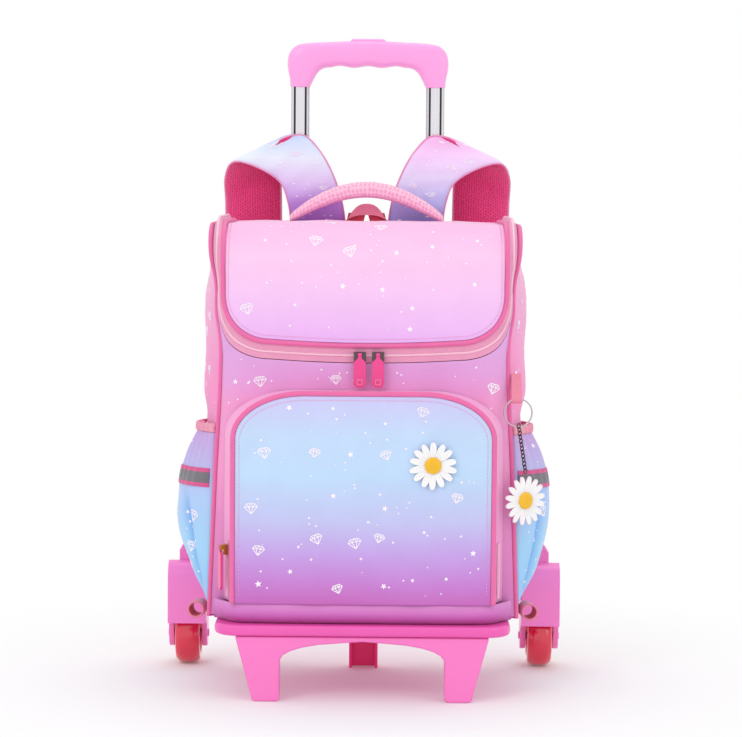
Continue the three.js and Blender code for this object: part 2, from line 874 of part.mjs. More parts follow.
// The puller: an eye round the hinge bar and a flat tab that hangs down from it.
function pullerSolid(width, length, wallSize, sliderSize) {
  const eye = sliderSize * 0.32 - lugWall - fit;
  const eyeRadius = hingeRadius + fit + 0.9;
  const tab = new THREE.Shape();
  const half = width / 2;
  const neck = eye;
  const shoulder = -eyeRadius - 3;
  tab.moveTo(-neck, -hingeRadius - fit);
  tab.lineTo(-neck, shoulder + 2);
  tab.lineTo(-half, shoulder - 2);
  tab.lineTo(-half, -length + 3);
  tab.lineTo(-half + 3, -length);
  tab.lineTo(half - 3, -length);
  tab.lineTo(half, -length + 3);
  tab.lineTo(half, shoulder - 2);
  tab.lineTo(neck, shoulder + 2);
  tab.lineTo(neck, -hingeRadius - fit);
  tab.closePath();
  const body = joined([
    barX(-eye, eye, 0, 0, eyeRadius, 12),
    plateXZ(tab, -wallSize / 2, wallSize / 2),
  ]);
  return cutFrom(body, [barX(-eye - 1, eye + 1, 0, 0, hingeRadius + fit, 10)]);
}

const sliderZ = flapHem - coilOffset + 3;
const sliderY = bagFront - coilRadius - fit;
const sliderPlaces = [
  ['left', sliderShift - sliderSpacing / 2],
  ['right', sliderShift + sliderSpacing / 2],
];
for (const [name, x] of sliderPlaces) {
  const slider = sliderSolid(sliderWidth, sliderHeight).translate(x, sliderY, sliderZ);
  piece(`zip_slider_${name}`, slider, paint.dark, sheen.metal);
  const puller = pullerSolid(pullerWidth, pullerLength, pullerWall, sliderWidth);
  puller.translate(x, sliderY + hingeY, sliderZ);
  piece(`zip_puller_${name}`, puller, paint.piping, sheen.mould);
}

const pocketHinge = gussetFrame(-1, pocketZipTop - 6, pocketZipDepth);
const pocketTurn = Math.atan2(-pocketHinge.outward.x, pocketHinge.outward.y) + Math.PI;
const pocketSeat = pocketHinge.place.clone().addScaledVector(pocketHinge.outward, 2 * fit + tapeWall);
const pocketSlider = sliderSolid(pocketPullerWidth, sliderHeight).rotateZ(pocketTurn);
piece('pocket_slider', pocketSlider.translate(...pocketSeat.toArray()), paint.gold, sheen.metal);
const pocketPuller = pullerSolid(pocketPullerWidth, pocketPullerLength, pullerWall, pocketPullerWidth);
pocketPuller.translate(0, hingeY, 0).rotateZ(pocketTurn).translate(...pocketSeat.toArray());
piece('pocket_puller', pocketPuller, paint.piping, sheen.mould);

// Side pockets: how far they stand off the side panel, as shares of sidePocketBulge
const bulgeTable = [
  { at: 0, out: 0.02 },
  { at: 0.18, out: 0.55 },
  { at: 0.45, out: 1 },
  { at: 0.68, out: 0.96 },
  { at: 0.87, out: 0.6 },
  { at: 1, out: 0.24 },
];
function sidePocketPoint(side, z, u, lift) {
  const run = runAtHeight(z);
  const front = seam(run).start.y + 1.5;
  const y = THREE.MathUtils.lerp(front, sidePocketBack, u);
  const share = (y - seam(run).start.y) / (lidBack - seam(run).start.y);
  const height = Math.min((z - sidePocketLow) / (sidePocketTop - sidePocketLow), 1);
  const out = fromTable(bulgeTable, 'out', height) * Math.sin(Math.PI * u) ** 0.75;
  const point = sidePoint(side, run, share, fit + sidePocketBulge * Math.max(0, out) + lift);
  point.z = z;
  return point;
}
const pocketHeights = [sidePocketLow, 108, 128, 162, bandLow, bandLow + bandHeight, 238, sidePocketTop];
const foldShares = [0, 0.05, 0.16, 0.32, 0.5, 0.68, 0.84, 0.95, 1];
const bandShares = foldShares.slice(1, -1);
const pick = (list, share) => list[Math.round(share * (list.length - 1))];
for (const [name, side] of [['left', -1], ['right', 1]]) {
  piece(
    `side_pocket_${name}`,
    wall(
      pocketHeights.length - 1,
      foldShares.length - 1,
      (v, u) => sidePocketPoint(side, pick(pocketHeights, v), pick(foldShares, u), clothWall),
      (v, u) => sidePocketPoint(side, pick(pocketHeights, v), pick(foldShares, u), 0),
    ),
    paint.sky,
  );
  const hemLow = sidePocketTop + fit;
  piece(
    `side_pocket_hem_${name}`,
    wall(
      1,
      foldShares.length - 1,
      (v, u) => sidePocketPoint(side, hemLow + hemHeight * v, pick(foldShares, u), hemWall),
      (v, u) => sidePocketPoint(side, hemLow + hemHeight * v, pick(foldShares, u), 0),
    ),
    paint.salmon,
  );
  const bandOut = clothWall + fit;
  piece(
    `side_pocket_band_${name}`,
    wall(
      1,
      bandShares.length - 1,
      (v, u) => sidePocketPoint(side, bandLow + bandHeight * v, pick(bandShares, u), bandOut + bandWall),
      (v, u) => sidePocketPoint(side, bandLow + bandHeight * v, pick(bandShares, u), bandOut),
    ),
    paint.reflect,
  );

  // Webbing loop at the low corner
  const loopSeat = sidePoint(side, frontRunEnd, 0.12, 1 + webbingWall / 2);
  const loopSteps = 12;
  const loopCentre = new THREE.Vector3(loopSeat.x + side * cornerLoopSize, loopSeat.y, bagFloor + 6);
  const loops = Array.from({ length: loopSteps }, (unused, i) => {
    const angle = (i / loopSteps) * Math.PI * 2;
    const radial = new THREE.Vector3(side * -Math.cos(angle), 0, Math.sin(angle));
    const centre = loopCentre.clone().addScaledVector(radial, cornerLoopSize);
    return section(
      centre,
      new THREE.Vector3(0, cornerLoopWide, 0),
      radial.multiplyScalar(webbingWall / 2),
      flatSection,
    );
  });
  piece(`corner_loop_${name}`, loft(loops, true), paint.salmon);
}

// Carry handle: a padded arch, sewn down flat at its ends
const archSteps = 14;
const handleArch = Array.from({ length: archSteps + 1 }, (unused, i) => {
  const share = i / archSteps;
  const bow = Math.sin(Math.PI * share);
  const thick = 3 + (handleThick - 3) * bow ** 0.5;
  const x = -handleHalf + 2 * handleHalf * share;
  const centre = new THREE.Vector3(x, handleY, bagTop + fit + 3 + handleRise * bow ** 0.9);
  const slope = Math.atan2(handleRise * 0.9 * Math.PI * Math.cos(Math.PI * share), 2 * handleHalf);
  const up = new THREE.Vector3(-Math.sin(slope * bow), 0, Math.cos(slope * bow));
  return section(centre, new THREE.Vector3(0, handleWide, 0), up.multiplyScalar(thick), roundSection(8));
});
piece('carry_handle', loft(handleArch), paint.tape);

// Hang loop: webbing that leans back as it rises
const hangSteps = 12;
const hangArch = Array.from({ length: hangSteps + 1 }, (unused, i) => {
  const share = i / hangSteps;
  const bow = Math.sin(Math.PI * share) ** 0.6;
  const x = -hangHalf + 2 * hangHalf * (share - 0.06 * Math.sin(2 * Math.PI * share));
  const lean = bow ** 3;
  const across = new THREE.Vector3(0, Math.cos(lean), Math.sin(lean)).multiplyScalar(3.6 + 7 * lean);
  const centre = new THREE.Vector3(x, hangY + 6 * lean, bagTop + hangRise * bow);
  const along = new THREE.Vector3(Math.sin(Math.PI * share), 0, Math.cos(Math.PI * share) * 0.9).normalize();
  const thick = across.clone().cross(along).normalize().multiplyScalar(webbingWall / 2);
  return section(centre, across, thick, flatSection);
});
piece('hang_loop', loft(hangArch), paint.salmon);

// Shoulder straps: rows from the seam behind the lid, over the crest and down to the low seam.
// X is a share of strapReach, Y of strapDepth behind the back, Z of strapRise above the lid or
// of strapDrop below it, and pad of strapPad.
const strapTable = [
  { inX: 0.14, inY: 0, inZ: -0.07, outX: 0.527, outY: 0, outZ: -0.07, pad: 1 },
  { inX: 0.15, inY: 0, inZ: 0.02, outX: 0.53, outY: 0, outZ: 0, pad: 1 },
  { inX: 0.175, inY: 0, inZ: 0.25, outX: 0.55, outY: 0, outZ: 0.22, pad: 1 },
  { inX: 0.23, inY: 0, inZ: 0.52, outX: 0.6, outY: 0.03, outZ: 0.43, pad: 1 },
  { inX: 0.32, inY: 0, inZ: 0.79, outX: 0.74, outY: 0.1, outZ: 0.59, pad: 0.95 },
  { inX: 0.44, inY: 0, inZ: 0.98, outX: 0.93, outY: 0.34, outZ: 0.67, pad: 0.9 },
  { inX: 0.6, inY: 0.04, inZ: 0.93, outX: 1.0, outY: 0.78, outZ: 0.5, pad: 0.9 },
  { inX: 0.615, inY: 0.56, inZ: 0.72, outX: 1.0, outY: 1.0, outZ: 0.2, pad: 0.95 },
  { inX: 0.605, inY: 0.75, inZ: 0.33, outX: 0.995, outY: 0.95, outZ: -0.06, pad: 1 },
  { inX: 0.605, inY: 0.76, inZ: -0.17, outX: 0.99, outY: 0.86, outZ: -0.26, pad: 1 },
  { inX: 0.62, inY: 0.52, inZ: -0.48, outX: 0.98, outY: 0.62, outZ: -0.52, pad: 1 },
  { inX: 0.7, inY: 0.22, inZ: -0.74, outX: 0.9, outY: 0.26, outZ: -0.74, pad: 0.6 },
  { inX: 0.735, inY: -0.05, inZ: -1, outX: 0.88, outY: -0.05, outZ: -1, pad: 0.3 },
];
const strapSteps = 20;
function strapCurve(side, keys) {
  return new THREE.CatmullRomCurve3(strapTable.map((row) => {
    const rise = row[keys[2]];
    return new THREE.Vector3(
      side * row[keys[0]] * strapReach,
      bagBack + fit + strapPad * 1.1 + row[keys[1]] * strapDepth,
      bagTop + rise * (rise >= 0 ? strapRise : strapDrop),
    );
  }), false, 'centripetal');
}
for (const [name, side] of [['left', -1], ['right', 1]]) {
  const inner = strapCurve(side, ['inX', 'inY', 'inZ']);
  const outer = strapCurve(side, ['outX', 'outY', 'outZ']);
  const loops = Array.from({ length: strapSteps + 1 }, (unused, i) => {
    const t = i / strapSteps;
    const a = inner.getPoint(t);
    const b = outer.getPoint(t);
    const along = inner.getTangent(t).add(outer.getTangent(t)).normalize();
    const across = b.clone().sub(a).multiplyScalar(0.5);
    const row = Math.min(Math.floor(t * (strapTable.length - 1)), strapTable.length - 2);
    const part = t * (strapTable.length - 1) - row;
    const pad = strapPad * THREE.MathUtils.lerp(strapTable[row].pad, strapTable[row + 1].pad, part);
    const thick = across.clone().cross(along).normalize().multiplyScalar(pad);
    return section(a.add(b).multiplyScalar(0.5), across, thick, padSection);
  });
  piece(`shoulder_strap_${name}`, loft(loops), side < 0 ? paint.sky : paint.lilac);
}

// Daisies: rounded petals round a raised heart
function daisyShape(radius, heart, count) {
  const shape = new THREE.Shape();
  const steps = count * 4;
  for (let i = 0; i < steps; i += 1) {
    const angle = (i / steps) * Math.PI * 2;
    const wave = Math.abs(Math.cos((angle * count) / 2)) ** 0.45;
    const reach = heart * 1.15 + (radius - heart * 1.15) * wave;
    const point = [reach * Math.cos(angle), reach * Math.sin(angle)];
    if (i === 0) {
      shape.moveTo(...point);
    } else {
      shape.lineTo(...point);
    }
  }
  shape.closePath();
  return shape;
}
function heartSolid(radius, height) {
  const profile = [[0, 0], [radius, 0], [radius, height * 0.4], [radius * 0.7, height * 0.85], [0, height]];
  const geometry = new THREE.LatheGeometry(profile.map(([x, y]) => new THREE.Vector2(x, y)), 16);
  geometry.rotateX(Math.PI);
  return fromManifold(toManifold(geometry));
}
const daisyInner = daisyX - daisyRadius * 0.8;
const daisyLow = daisyZ - daisyRadius - pocketSeam;
const daisyBulge = bulgeAt(daisyInner / pocketHalf, daisyLow / (pocketTop - pocketSeam));
const daisyY = pocketFront - daisyBulge - clothWall / 2 - 2 * fit;
piece(
  'pocket_daisy_petals',
  plateXZ(daisyShape(daisyRadius, daisyHeart, daisyPetals), -daisyWall, 0).translate(daisyX, daisyY, daisyZ),
  paint.white,
  sheen.mould,
);
piece(
  'pocket_daisy_centre',
  heartSolid(daisyHeart, 4).translate(daisyX, daisyY - daisyWall - fit, daisyZ),
  paint.yellow,
  sheen.mould,
);

// Keychain: a tab on the piping, a split ring, a chain of links and a daisy charm
const tabSeam = seam(runAt(tabHeight - 10)).centre;
const tabX = tabSeam.x + pipingRadius + fit + tabWidth / 2;
const tabHigh = new THREE.Vector3(tabX, tabSeam.y, tabHeight);
const tabEnd = ringPlace.z + ringRadius - 2 * ringWire + tabGap - webbingWall;
const tabLow = new THREE.Vector3(tabX, ringPlace.y, tabEnd);
const tabDown = tabLow.clone().sub(tabHigh).normalize();
const tabOut = new THREE.Vector3(0, tabDown.z, -tabDown.y);
const tabLoops = Array.from({ length: 12 }, (unused, i) => {
  const angle = ((i + 0.5) / 12) * Math.PI * 2;
  const centre = (Math.sin(angle) > 0 ? tabLow : tabHigh).clone();
  const radial = tabOut.clone().multiplyScalar(Math.cos(angle)).addScaledVector(tabDown, Math.sin(angle));
  centre.addScaledVector(radial, tabGap);
  const across = new THREE.Vector3(tabWidth / 2, 0, 0);
  return section(centre, across, radial.multiplyScalar(webbingWall / 2), flatSection);
});
piece('charm_tab', loft(tabLoops, true), paint.salmon);
const ringGeometry = new THREE.TorusGeometry(ringRadius, ringWire, 5, 22).rotateX(Math.PI / 2);
piece('split_ring', ringGeometry.translate(...ringPlace.toArray()), paint.silver, sheen.metal);

const chainTop = ringPlace.clone().add(new THREE.Vector3(0.5, 0, -ringRadius));
const eyePlace = charmPlace.clone().add(new THREE.Vector3(0, 0, charmRadius + eyeRadius - eyeWire));
const linkOverlap = 0.85 * linkWire;
const charmEye = eyePlace.clone().setZ(eyePlace.z + eyeRadius - eyeWire - linkWire - fit + linkOverlap);
const firstRing = 4.2;
const linkSolids = [
  new THREE.TorusGeometry(firstRing, linkWire, 5, 12).rotateY(Math.PI / 2)
    .translate(chainTop.x, chainTop.y, chainTop.z - firstRing + ringWire + linkWire + fit),
];
const linkStart = chainTop.clone().add(new THREE.Vector3(0, 0, -2 * firstRing + ringWire + linkWire + fit));
for (let i = 0; i < linkCount; i += 1) {
  const share = (i + 0.5) / linkCount;
  const place = linkStart.clone().lerp(charmEye, share);
  const stretch = (linkStart.distanceTo(charmEye) / linkCount / 2 + linkOverlap) / linkRadius;
  const link = new THREE.TorusGeometry(linkRadius, linkWire, 5, 10).scale(0.8, stretch, 1);
  link.rotateX(Math.PI / 2).rotateZ(((i + linkCount) % 2) * (Math.PI / 2) + charmTurn);
  linkSolids.push(link.translate(...place.toArray()));
}
piece('charm_chain', fromManifold(joined(linkSolids)), paint.dark, sheen.metal);

const charmEyelet = new THREE.TorusGeometry(eyeRadius, eyeWire, 6, 12).rotateX(Math.PI / 2);
const charmBody = fromManifold(joined([
  plateXZ(daisyShape(charmRadius, charmHeart, charmPetals), -charmWall / 2, charmWall / 2),
  charmEyelet.translate(0, 0, eyePlace.z - charmPlace.z),
]));
piece(
  'charm_petals',
  charmBody.rotateZ(charmTurn).translate(...charmPlace.toArray()),
  paint.white,
  sheen.mould,
);
piece(
  'charm_centre',
  heartSolid(charmHeart, 3.5).translate(0, -charmWall / 2 - fit, 0).rotateZ(charmTurn)
    .translate(...charmPlace.toArray()),
  paint.yellow,
  sheen.mould,
);

// Base plate
const plateShape = new THREE.Shape();
const plateEdge = plateHalf - plateBevel;
const plateNose = plateFront + plateBevel;
plateShape.moveTo(-plateEdge, plateBack - plateBevel);
plateShape.lineTo(-plateEdge, plateNose + plateCorner);
plateShape.absarc(-plateEdge + plateCorner, plateNose + plateCorner, plateCorner, Math.PI, Math.PI * 1.5);
plateShape.absarc(plateEdge - plateCorner, plateNose + plateCorner, plateCorner, Math.PI * 1.5, Math.PI * 2);
plateShape.lineTo(plateEdge, plateBack - plateBevel);
plateShape.closePath();
const plateGeometry = new THREE.ExtrudeGeometry(plateShape, {
  depth: plateTop - plateLow - 2 * plateBevel,
  bevelThickness: plateBevel,
  bevelSize: plateBevel,
  bevelSegments: 2,
  curveSegments: 4,
});
piece('base_plate', plateGeometry.translate(0, 0, plateLow + plateBevel), paint.plastic, sheen.mould);

// Front feet: two legs and the arch between them
const feetShape = new THREE.Shape();
const footToe = 5;
const footRoof = plateLow - fit;
feetShape.moveTo(-footOuterTop, footRoof);
feetShape.lineTo(-footOuterLow, footToe);
feetShape.quadraticCurveTo(-footOuterLow, 0, -footOuterLow + footToe, 0);
feetShape.lineTo(-footInner - footToe, 0);
feetShape.quadraticCurveTo(-footInner, 0, -footInner, footToe);
feetShape.lineTo(-footInner, archSide);
feetShape.quadraticCurveTo(-footInner * 0.95, archTop - 3, 0, archTop);
feetShape.quadraticCurveTo(footInner * 0.95, archTop - 3, footInner, archSide);
feetShape.lineTo(footInner, footToe);
feetShape.quadraticCurveTo(footInner, 0, footInner + footToe, 0);
feetShape.lineTo(footOuterLow - footToe, 0);
feetShape.quadraticCurveTo(footOuterLow, 0, footOuterLow, footToe);
feetShape.lineTo(footOuterTop, footRoof);
feetShape.closePath();
piece(
  'front_feet',
  plateXZ(feetShape, footFront, footFront + footDepth, { curveSegments: 6 }),
  paint.plastic,
  sheen.mould,
);

// Middle foot: a channel that opens to the front
const channelBack = rearFootFront + rearFootDepth;
const channel = joined([
  block([-rearFootHalf, rearFootFront, 0], [-rearFootHalf + mouldWall, channelBack, footRoof]),
  block([rearFootHalf - mouldWall, rearFootFront, 0], [rearFootHalf, channelBack, footRoof]),
  block([-rearFootHalf, channelBack - mouldWall, 0], [rearFootHalf, channelBack, footRoof]),
]);
const boardFoot = plateLow + fit;
piece('rear_foot', fromManifold(channel), paint.deep, sheen.mould);

// Back board with the tube sockets
const boardBack = boardFront + boardWall;
const boardShape = new THREE.Shape();
const boardNeck = wheelX - wheelWidth / 2 - wheelGap - cheekWall - 4;
const boardWing = wheelRadius * 2 + 8;
boardShape.moveTo(-boardNeck, boardFoot);
boardShape.lineTo(boardNeck, boardFoot);
boardShape.lineTo(boardNeck, boardWing);
boardShape.lineTo(boardWide, boardWing);
boardShape.lineTo(boardWide, boardWingLow);
boardShape.quadraticCurveTo(boardWide - 6, boardWingTop - 6, boardWide - boardWingSlope, boardWingTop);
boardShape.quadraticCurveTo(bracketHalf + 14, boardWaist, bracketHalf + 8, boardTop - 60);
boardShape.lineTo(bracketHalf + 8, boardTop - 12);
boardShape.quadraticCurveTo(bracketHalf + 8, boardTop, bracketHalf - 4, boardTop);
boardShape.lineTo(-bracketHalf + 4, boardTop);
boardShape.quadraticCurveTo(-bracketHalf - 8, boardTop, -bracketHalf - 8, boardTop - 12);
boardShape.lineTo(-bracketHalf - 8, boardTop - 60);
boardShape.quadraticCurveTo(-bracketHalf - 14, boardWaist, -boardWide + boardWingSlope, boardWingTop);
boardShape.quadraticCurveTo(-boardWide + 6, boardWingTop - 6, -boardWide, boardWingLow);
boardShape.lineTo(-boardWide, boardWing);
boardShape.lineTo(-boardNeck, boardWing);
boardShape.closePath();
const socketHalf = outerTubeWide / 2 + fit + mouldWall;
const socketBack = tubeY + outerTubeDeep / 2 + fit + mouldWall;
const boardParts = [plateXZ(boardShape, boardFront, boardBack, { curveSegments: 4 })];
const socketHoles = [];
for (const x of [-tubeX, tubeX]) {
  boardParts.push(block([x - socketHalf, boardBack - 2, boardFoot], [x + socketHalf, socketBack, socketTop]));
  socketHoles.push(block(
    [x - outerTubeWide / 2 - fit, tubeY - outerTubeDeep / 2 - fit, outerTubeLow + boardFoot - plateLow + 6],
    [x + outerTubeWide / 2 + fit, tubeY + outerTubeDeep / 2 + fit, socketTop + 5],
  ));
}
piece('back_board', cutFrom(joined(boardParts), socketHoles), paint.plastic, sheen.mould);

// Tubes: rounded boxes with two grooves down the front and the back
function tubeShape(wide, deep, grooved) {
  const shape = new THREE.Shape();
  const x = wide / 2;
  const y = deep / 2;
  const corner = 2;
  const groove = wide * 0.3;
  const across = (sign) => {
    if (grooved) {
      for (const centre of [-groove, groove]) {
        shape.lineTo(sign * (centre - grooveWide / 2), -sign * y);
        shape.lineTo(sign * (centre - grooveWide / 2), -sign * (y - grooveDeep));
        shape.lineTo(sign * (centre + grooveWide / 2), -sign * (y - grooveDeep));
        shape.lineTo(sign * (centre + grooveWide / 2), -sign * y);
      }
    }
  };
  shape.moveTo(-x + corner, -y);
  across(1);
  shape.lineTo(x - corner, -y);
  shape.lineTo(x, -y + corner);
  shape.lineTo(x, y - corner);
  shape.lineTo(x - corner, y);
  across(-1);
  shape.lineTo(-x + corner, y);
  shape.lineTo(-x, y - corner);
  shape.lineTo(-x, -y + corner);
  shape.closePath();
  return shape;
}
function tube(x, low, high, wide, deep, grooved) {
  const shape = tubeShape(wide, deep, grooved);
  const bore = tubeWall + (grooved ? grooveDeep : 0);
  shape.holes.push(tubeShape(wide - 2 * bore, deep - 2 * bore, false));
  const geometry = new THREE.ExtrudeGeometry(shape, { depth: high - low, bevelEnabled: false });
  return geometry.translate(x, tubeY, low);
}
const innerTubeWide = outerTubeWide - 2 * tubeWall - 2 * fit;
const innerTubeDeep = outerTubeDeep - 2 * tubeWall - 2 * fit;
const socketFloor = outerTubeLow + boardFoot - plateLow + 6 + fit;
const innerTubeTop = gripLow + gripSocket - runningGap;
for (const [name, x] of [['left', -tubeX], ['right', tubeX]]) {
  piece(
    `outer_tube_${name}`,
    tube(x, socketFloor, outerTubeTop, outerTubeWide, outerTubeDeep, false),
    paint.silver,
    sheen.metal,
  );
  piece(
    `inner_tube_${name}`,
    tube(x, innerTubeLow, innerTubeTop, innerTubeWide, innerTubeDeep, true),
    paint.silver,
    sheen.metal,
  );
}

// Bracket that ties the tubes' tops to the back panel
const bracketTop = outerTubeTop - bracketRise;
const bracketLow = bracketTop - bracketHeight;
const bracketFront = tubeY - outerTubeDeep / 2 - fit - mouldWall;
const bracketBody = joined([
  block([-bracketHalf, bracketFront, bracketLow], [bracketHalf, socketBack, bracketTop]),
  block([-13, bagBack + fit, bracketLow], [13, bracketFront + 2, bracketTop]),
]);
const bracketHoles = [-tubeX, tubeX].map((x) => block(
  [x - outerTubeWide / 2 - fit, tubeY - outerTubeDeep / 2 - fit, bracketLow - 1],
  [x + outerTubeWide / 2 + fit, tubeY + outerTubeDeep / 2 + fit, bracketTop + 1],
));
piece('tube_bracket', cutFrom(bracketBody, bracketHoles), paint.plastic, sheen.mould);

// Grip: an arch with finger waves, a socket in each leg and a pocket for the button
function gripShape() {
  const shape = new THREE.Shape();
  const r = gripRound;
  const low = gripLow + r;
  shape.moveTo(-gripLegOuter + r, low);
  shape.quadraticCurveTo(-gripHalf + r - 1, gripUnder - 8, -gripHalf + r, gripUnder + 2);
  const side = gripHalf - r;
  const crown = gripTop - r;
  const shoulder = gripHalf - gripShoulder;
  shape.quadraticCurveTo(-side, crown - gripCrown - 1, -shoulder, crown - gripCrown);
  shape.quadraticCurveTo(0, crown + gripCrown, shoulder, crown - gripCrown);
  shape.quadraticCurveTo(side, crown - gripCrown - 1, side, gripUnder + 2);
  shape.quadraticCurveTo(gripHalf - r + 1, gripUnder - 8, gripLegOuter - r, low);
  shape.lineTo(gripLegInner + r, low);
  shape.quadraticCurveTo(gripArchHalf + 2, gripUnder + r - 1, gripArchHalf - 10, gripUnder + r);
  for (let i = 0; i <= 12; i += 1) {
    const x = (gripArchHalf - 12) * (1 - i / 6);
    const wave = gripWave * (1 - Math.abs(Math.cos((x / (gripArchHalf - 12)) * Math.PI * 1.5)));
    shape.lineTo(x, gripUnder + r - wave);
  }
  shape.quadraticCurveTo(-gripArchHalf - 2, gripUnder + r - 1, -gripLegInner - r, low);
  shape.closePath();
  return shape;
}
const gripSolid = toManifold(plateXZ(
  gripShape(),
  tubeY - gripDepth / 2 + gripRound,
  tubeY + gripDepth / 2 - gripRound,
  { bevelEnabled: true, bevelThickness: gripRound, bevelSize: gripRound, bevelSegments: 2, curveSegments: 4 },
));
const buttonLow = gripTop + buttonRise - buttonHeight;
const gripCuts = [-tubeX, tubeX].map((x) => block(
  [x - innerTubeWide / 2 - fit, tubeY - innerTubeDeep / 2 - fit, gripLow - 1],
  [x + innerTubeWide / 2 + fit, tubeY + innerTubeDeep / 2 + fit, gripLow + gripSocket],
));
gripCuts.push(block(
  [-buttonHalf - fit, tubeY - buttonDepth / 2 - fit, buttonLow - buttonTravel - runningGap],
  [buttonHalf + fit, tubeY + buttonDepth / 2 + fit, gripTop + 10],
));
piece('grip', cutFrom(gripSolid, gripCuts), paint.plastic, sheen.mould);
const buttonBevel = 1.5;
const buttonShape = roundedRect(
  buttonHalf - buttonBevel,
  buttonLow + buttonBevel,
  gripTop + buttonRise - buttonBevel,
  2,
);
piece(
  'grip_button',
  plateXZ(buttonShape, tubeY - buttonDepth / 2 + buttonBevel, tubeY + buttonDepth / 2 - buttonBevel, {
    bevelEnabled: true,
    bevelThickness: buttonBevel,
    bevelSize: buttonBevel,
    bevelSegments: 1,
    curveSegments: 2,
  }),
  paint.plastic,
  sheen.mould,
);

// Wheels and their housings
const cheekInner = wheelX - wheelWidth / 2 - wheelGap - cheekWall;
const cheekOuter = wheelX + wheelWidth / 2 + wheelGap + cheekWall;
const housingShape = new THREE.Shape();
housingShape.moveTo(housingFront, housingLow);
housingShape.lineTo(housingFront + 1, housingTop - 14);
housingShape.quadraticCurveTo(housingFront + 4, housingTop, boardFront - fit, housingTop + 2);
housingShape.lineTo(boardFront - fit, boardWing - fit);
housingShape.lineTo(axleY + 16, boardWing - fit);
housingShape.lineTo(axleY + 14, wheelRadius);
housingShape.quadraticCurveTo(axleY + 13, cheekLow, axleY, cheekLow);
housingShape.quadraticCurveTo(axleY - 13, cheekLow, axleY - 15, wheelRadius);
housingShape.lineTo(axleY - 20, housingLow);
housingShape.closePath();

// A flat outline in Y and Z, spread along X.
function plateYZ(shape, x0, x1, options = {}) {
  const geometry = new THREE.ExtrudeGeometry(shape, { depth: x1 - x0, bevelEnabled: false, ...options });
  return geometry.rotateX(Math.PI / 2).rotateZ(Math.PI / 2).translate(x0, 0, 0);
}
function housingSolid() {
  const body = toManifold(plateYZ(housingShape, cheekInner, cheekOuter, { curveSegments: 6 }));
  const well = barX(
    cheekInner + cheekWall, cheekOuter - cheekWall, axleY, wheelRadius, wheelRadius + 2.5, 24,
  );
  const mouth = block(
    [cheekInner + cheekWall, axleY, -5],
    [cheekOuter - cheekWall, axleY + 40, boardWing + 5],
  );
  const hollow = body.subtract(toManifold(well)).subtract(toManifold(mouth));
  const axle = barX(cheekInner - 1.5, cheekOuter + 1.5, axleY, wheelRadius, axleRadius, 16);
  return fromManifold(hollow.add(toManifold(axle)));
}
function wheelSolid() {
  const half = wheelWidth / 2;
  const bore = axleRadius + fit;
  const profile = [
    [bore, -half + 3], [bore + 6, -half + 3], [wheelRadius - 9, -half], [wheelRadius - 4, -half + 1.5],
    [wheelRadius - 1, -half + 6], [wheelRadius, -3.5], [wheelRadius, 3.5], [wheelRadius - 1, half - 6],
    [wheelRadius - 4, half - 1.5], [wheelRadius - 9, half], [bore + 6, half - 3], [bore, half - 3],
    [bore, -half + 3],
  ];
  const geometry = new THREE.LatheGeometry(profile.map(([x, y]) => new THREE.Vector2(x, y)), 26);
  return fromManifold(toManifold(geometry.rotateZ(-Math.PI / 2)));
}
for (const [name, side] of [['left', -1], ['right', 1]]) {
  const housing = housingSolid();
  const wheel = wheelSolid().translate(side * wheelX, axleY, wheelRadius);
  if (side < 0) {
    housing.scale(-1, 1, 1);
    housing.setIndex([...housing.index.array].reverse());
  }
  piece(`wheel_housing_${name}`, housing, paint.plastic, sheen.mould);
  piece(`wheel_${name}`, wheel, paint.wheel, sheen.mould);
}

// The origin is the middle of the part's box at the floor.
const box = new THREE.Box3().setFromObject(group);
group.position.set(-(box.min.x + box.max.x) / 2, -(box.min.y + box.max.y) / 2, -box.min.z);

export default group;
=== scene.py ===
import math

import bmesh
import bpy
import numpy as np
from mathutils import Matrix, Vector


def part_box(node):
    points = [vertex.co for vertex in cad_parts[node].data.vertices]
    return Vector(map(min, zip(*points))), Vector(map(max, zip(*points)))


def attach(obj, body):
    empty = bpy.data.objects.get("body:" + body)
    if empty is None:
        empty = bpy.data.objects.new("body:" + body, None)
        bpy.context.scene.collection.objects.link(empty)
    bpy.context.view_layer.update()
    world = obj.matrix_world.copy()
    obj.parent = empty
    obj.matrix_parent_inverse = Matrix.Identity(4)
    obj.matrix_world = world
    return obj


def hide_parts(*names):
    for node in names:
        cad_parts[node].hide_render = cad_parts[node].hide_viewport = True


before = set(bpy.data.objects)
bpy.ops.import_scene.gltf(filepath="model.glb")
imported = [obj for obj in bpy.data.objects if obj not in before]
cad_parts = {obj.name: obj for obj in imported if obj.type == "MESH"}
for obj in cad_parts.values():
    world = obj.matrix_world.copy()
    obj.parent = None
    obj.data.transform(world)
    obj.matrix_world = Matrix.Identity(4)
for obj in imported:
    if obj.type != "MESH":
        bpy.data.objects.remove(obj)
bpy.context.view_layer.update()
print("frame loaded:", len(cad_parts), "nodes")

# The drawing's millimetres, as in the part's source. The scene's origin is the middle of the part's box.
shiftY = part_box("base_plate")[0][1] * 1000 + 118

view = {
    "target": (6.1, 0, 320.8),
    "distance": 2800,
    "elevation": 4.2,
    "azimuth": 0.3,
    "roll": 0.45,
    "focalPixels": 2758,
    "imageWidth": 742,
    "sensor": 36,
}
studio = {
    "world": (1.0, 1.0, 1.0),
    "worldStrength": 1.0,
    "keyPower": 14,
    "keySize": 0.9,
    "fillPower": 5,
    "fillSize": 1.4,
    "topPower": 6,
    "floorSize": 12,
    "paperNear": 260,
    "paperFar": 620,
    "glow": 1.0,
    "exposure": 0.0,
}


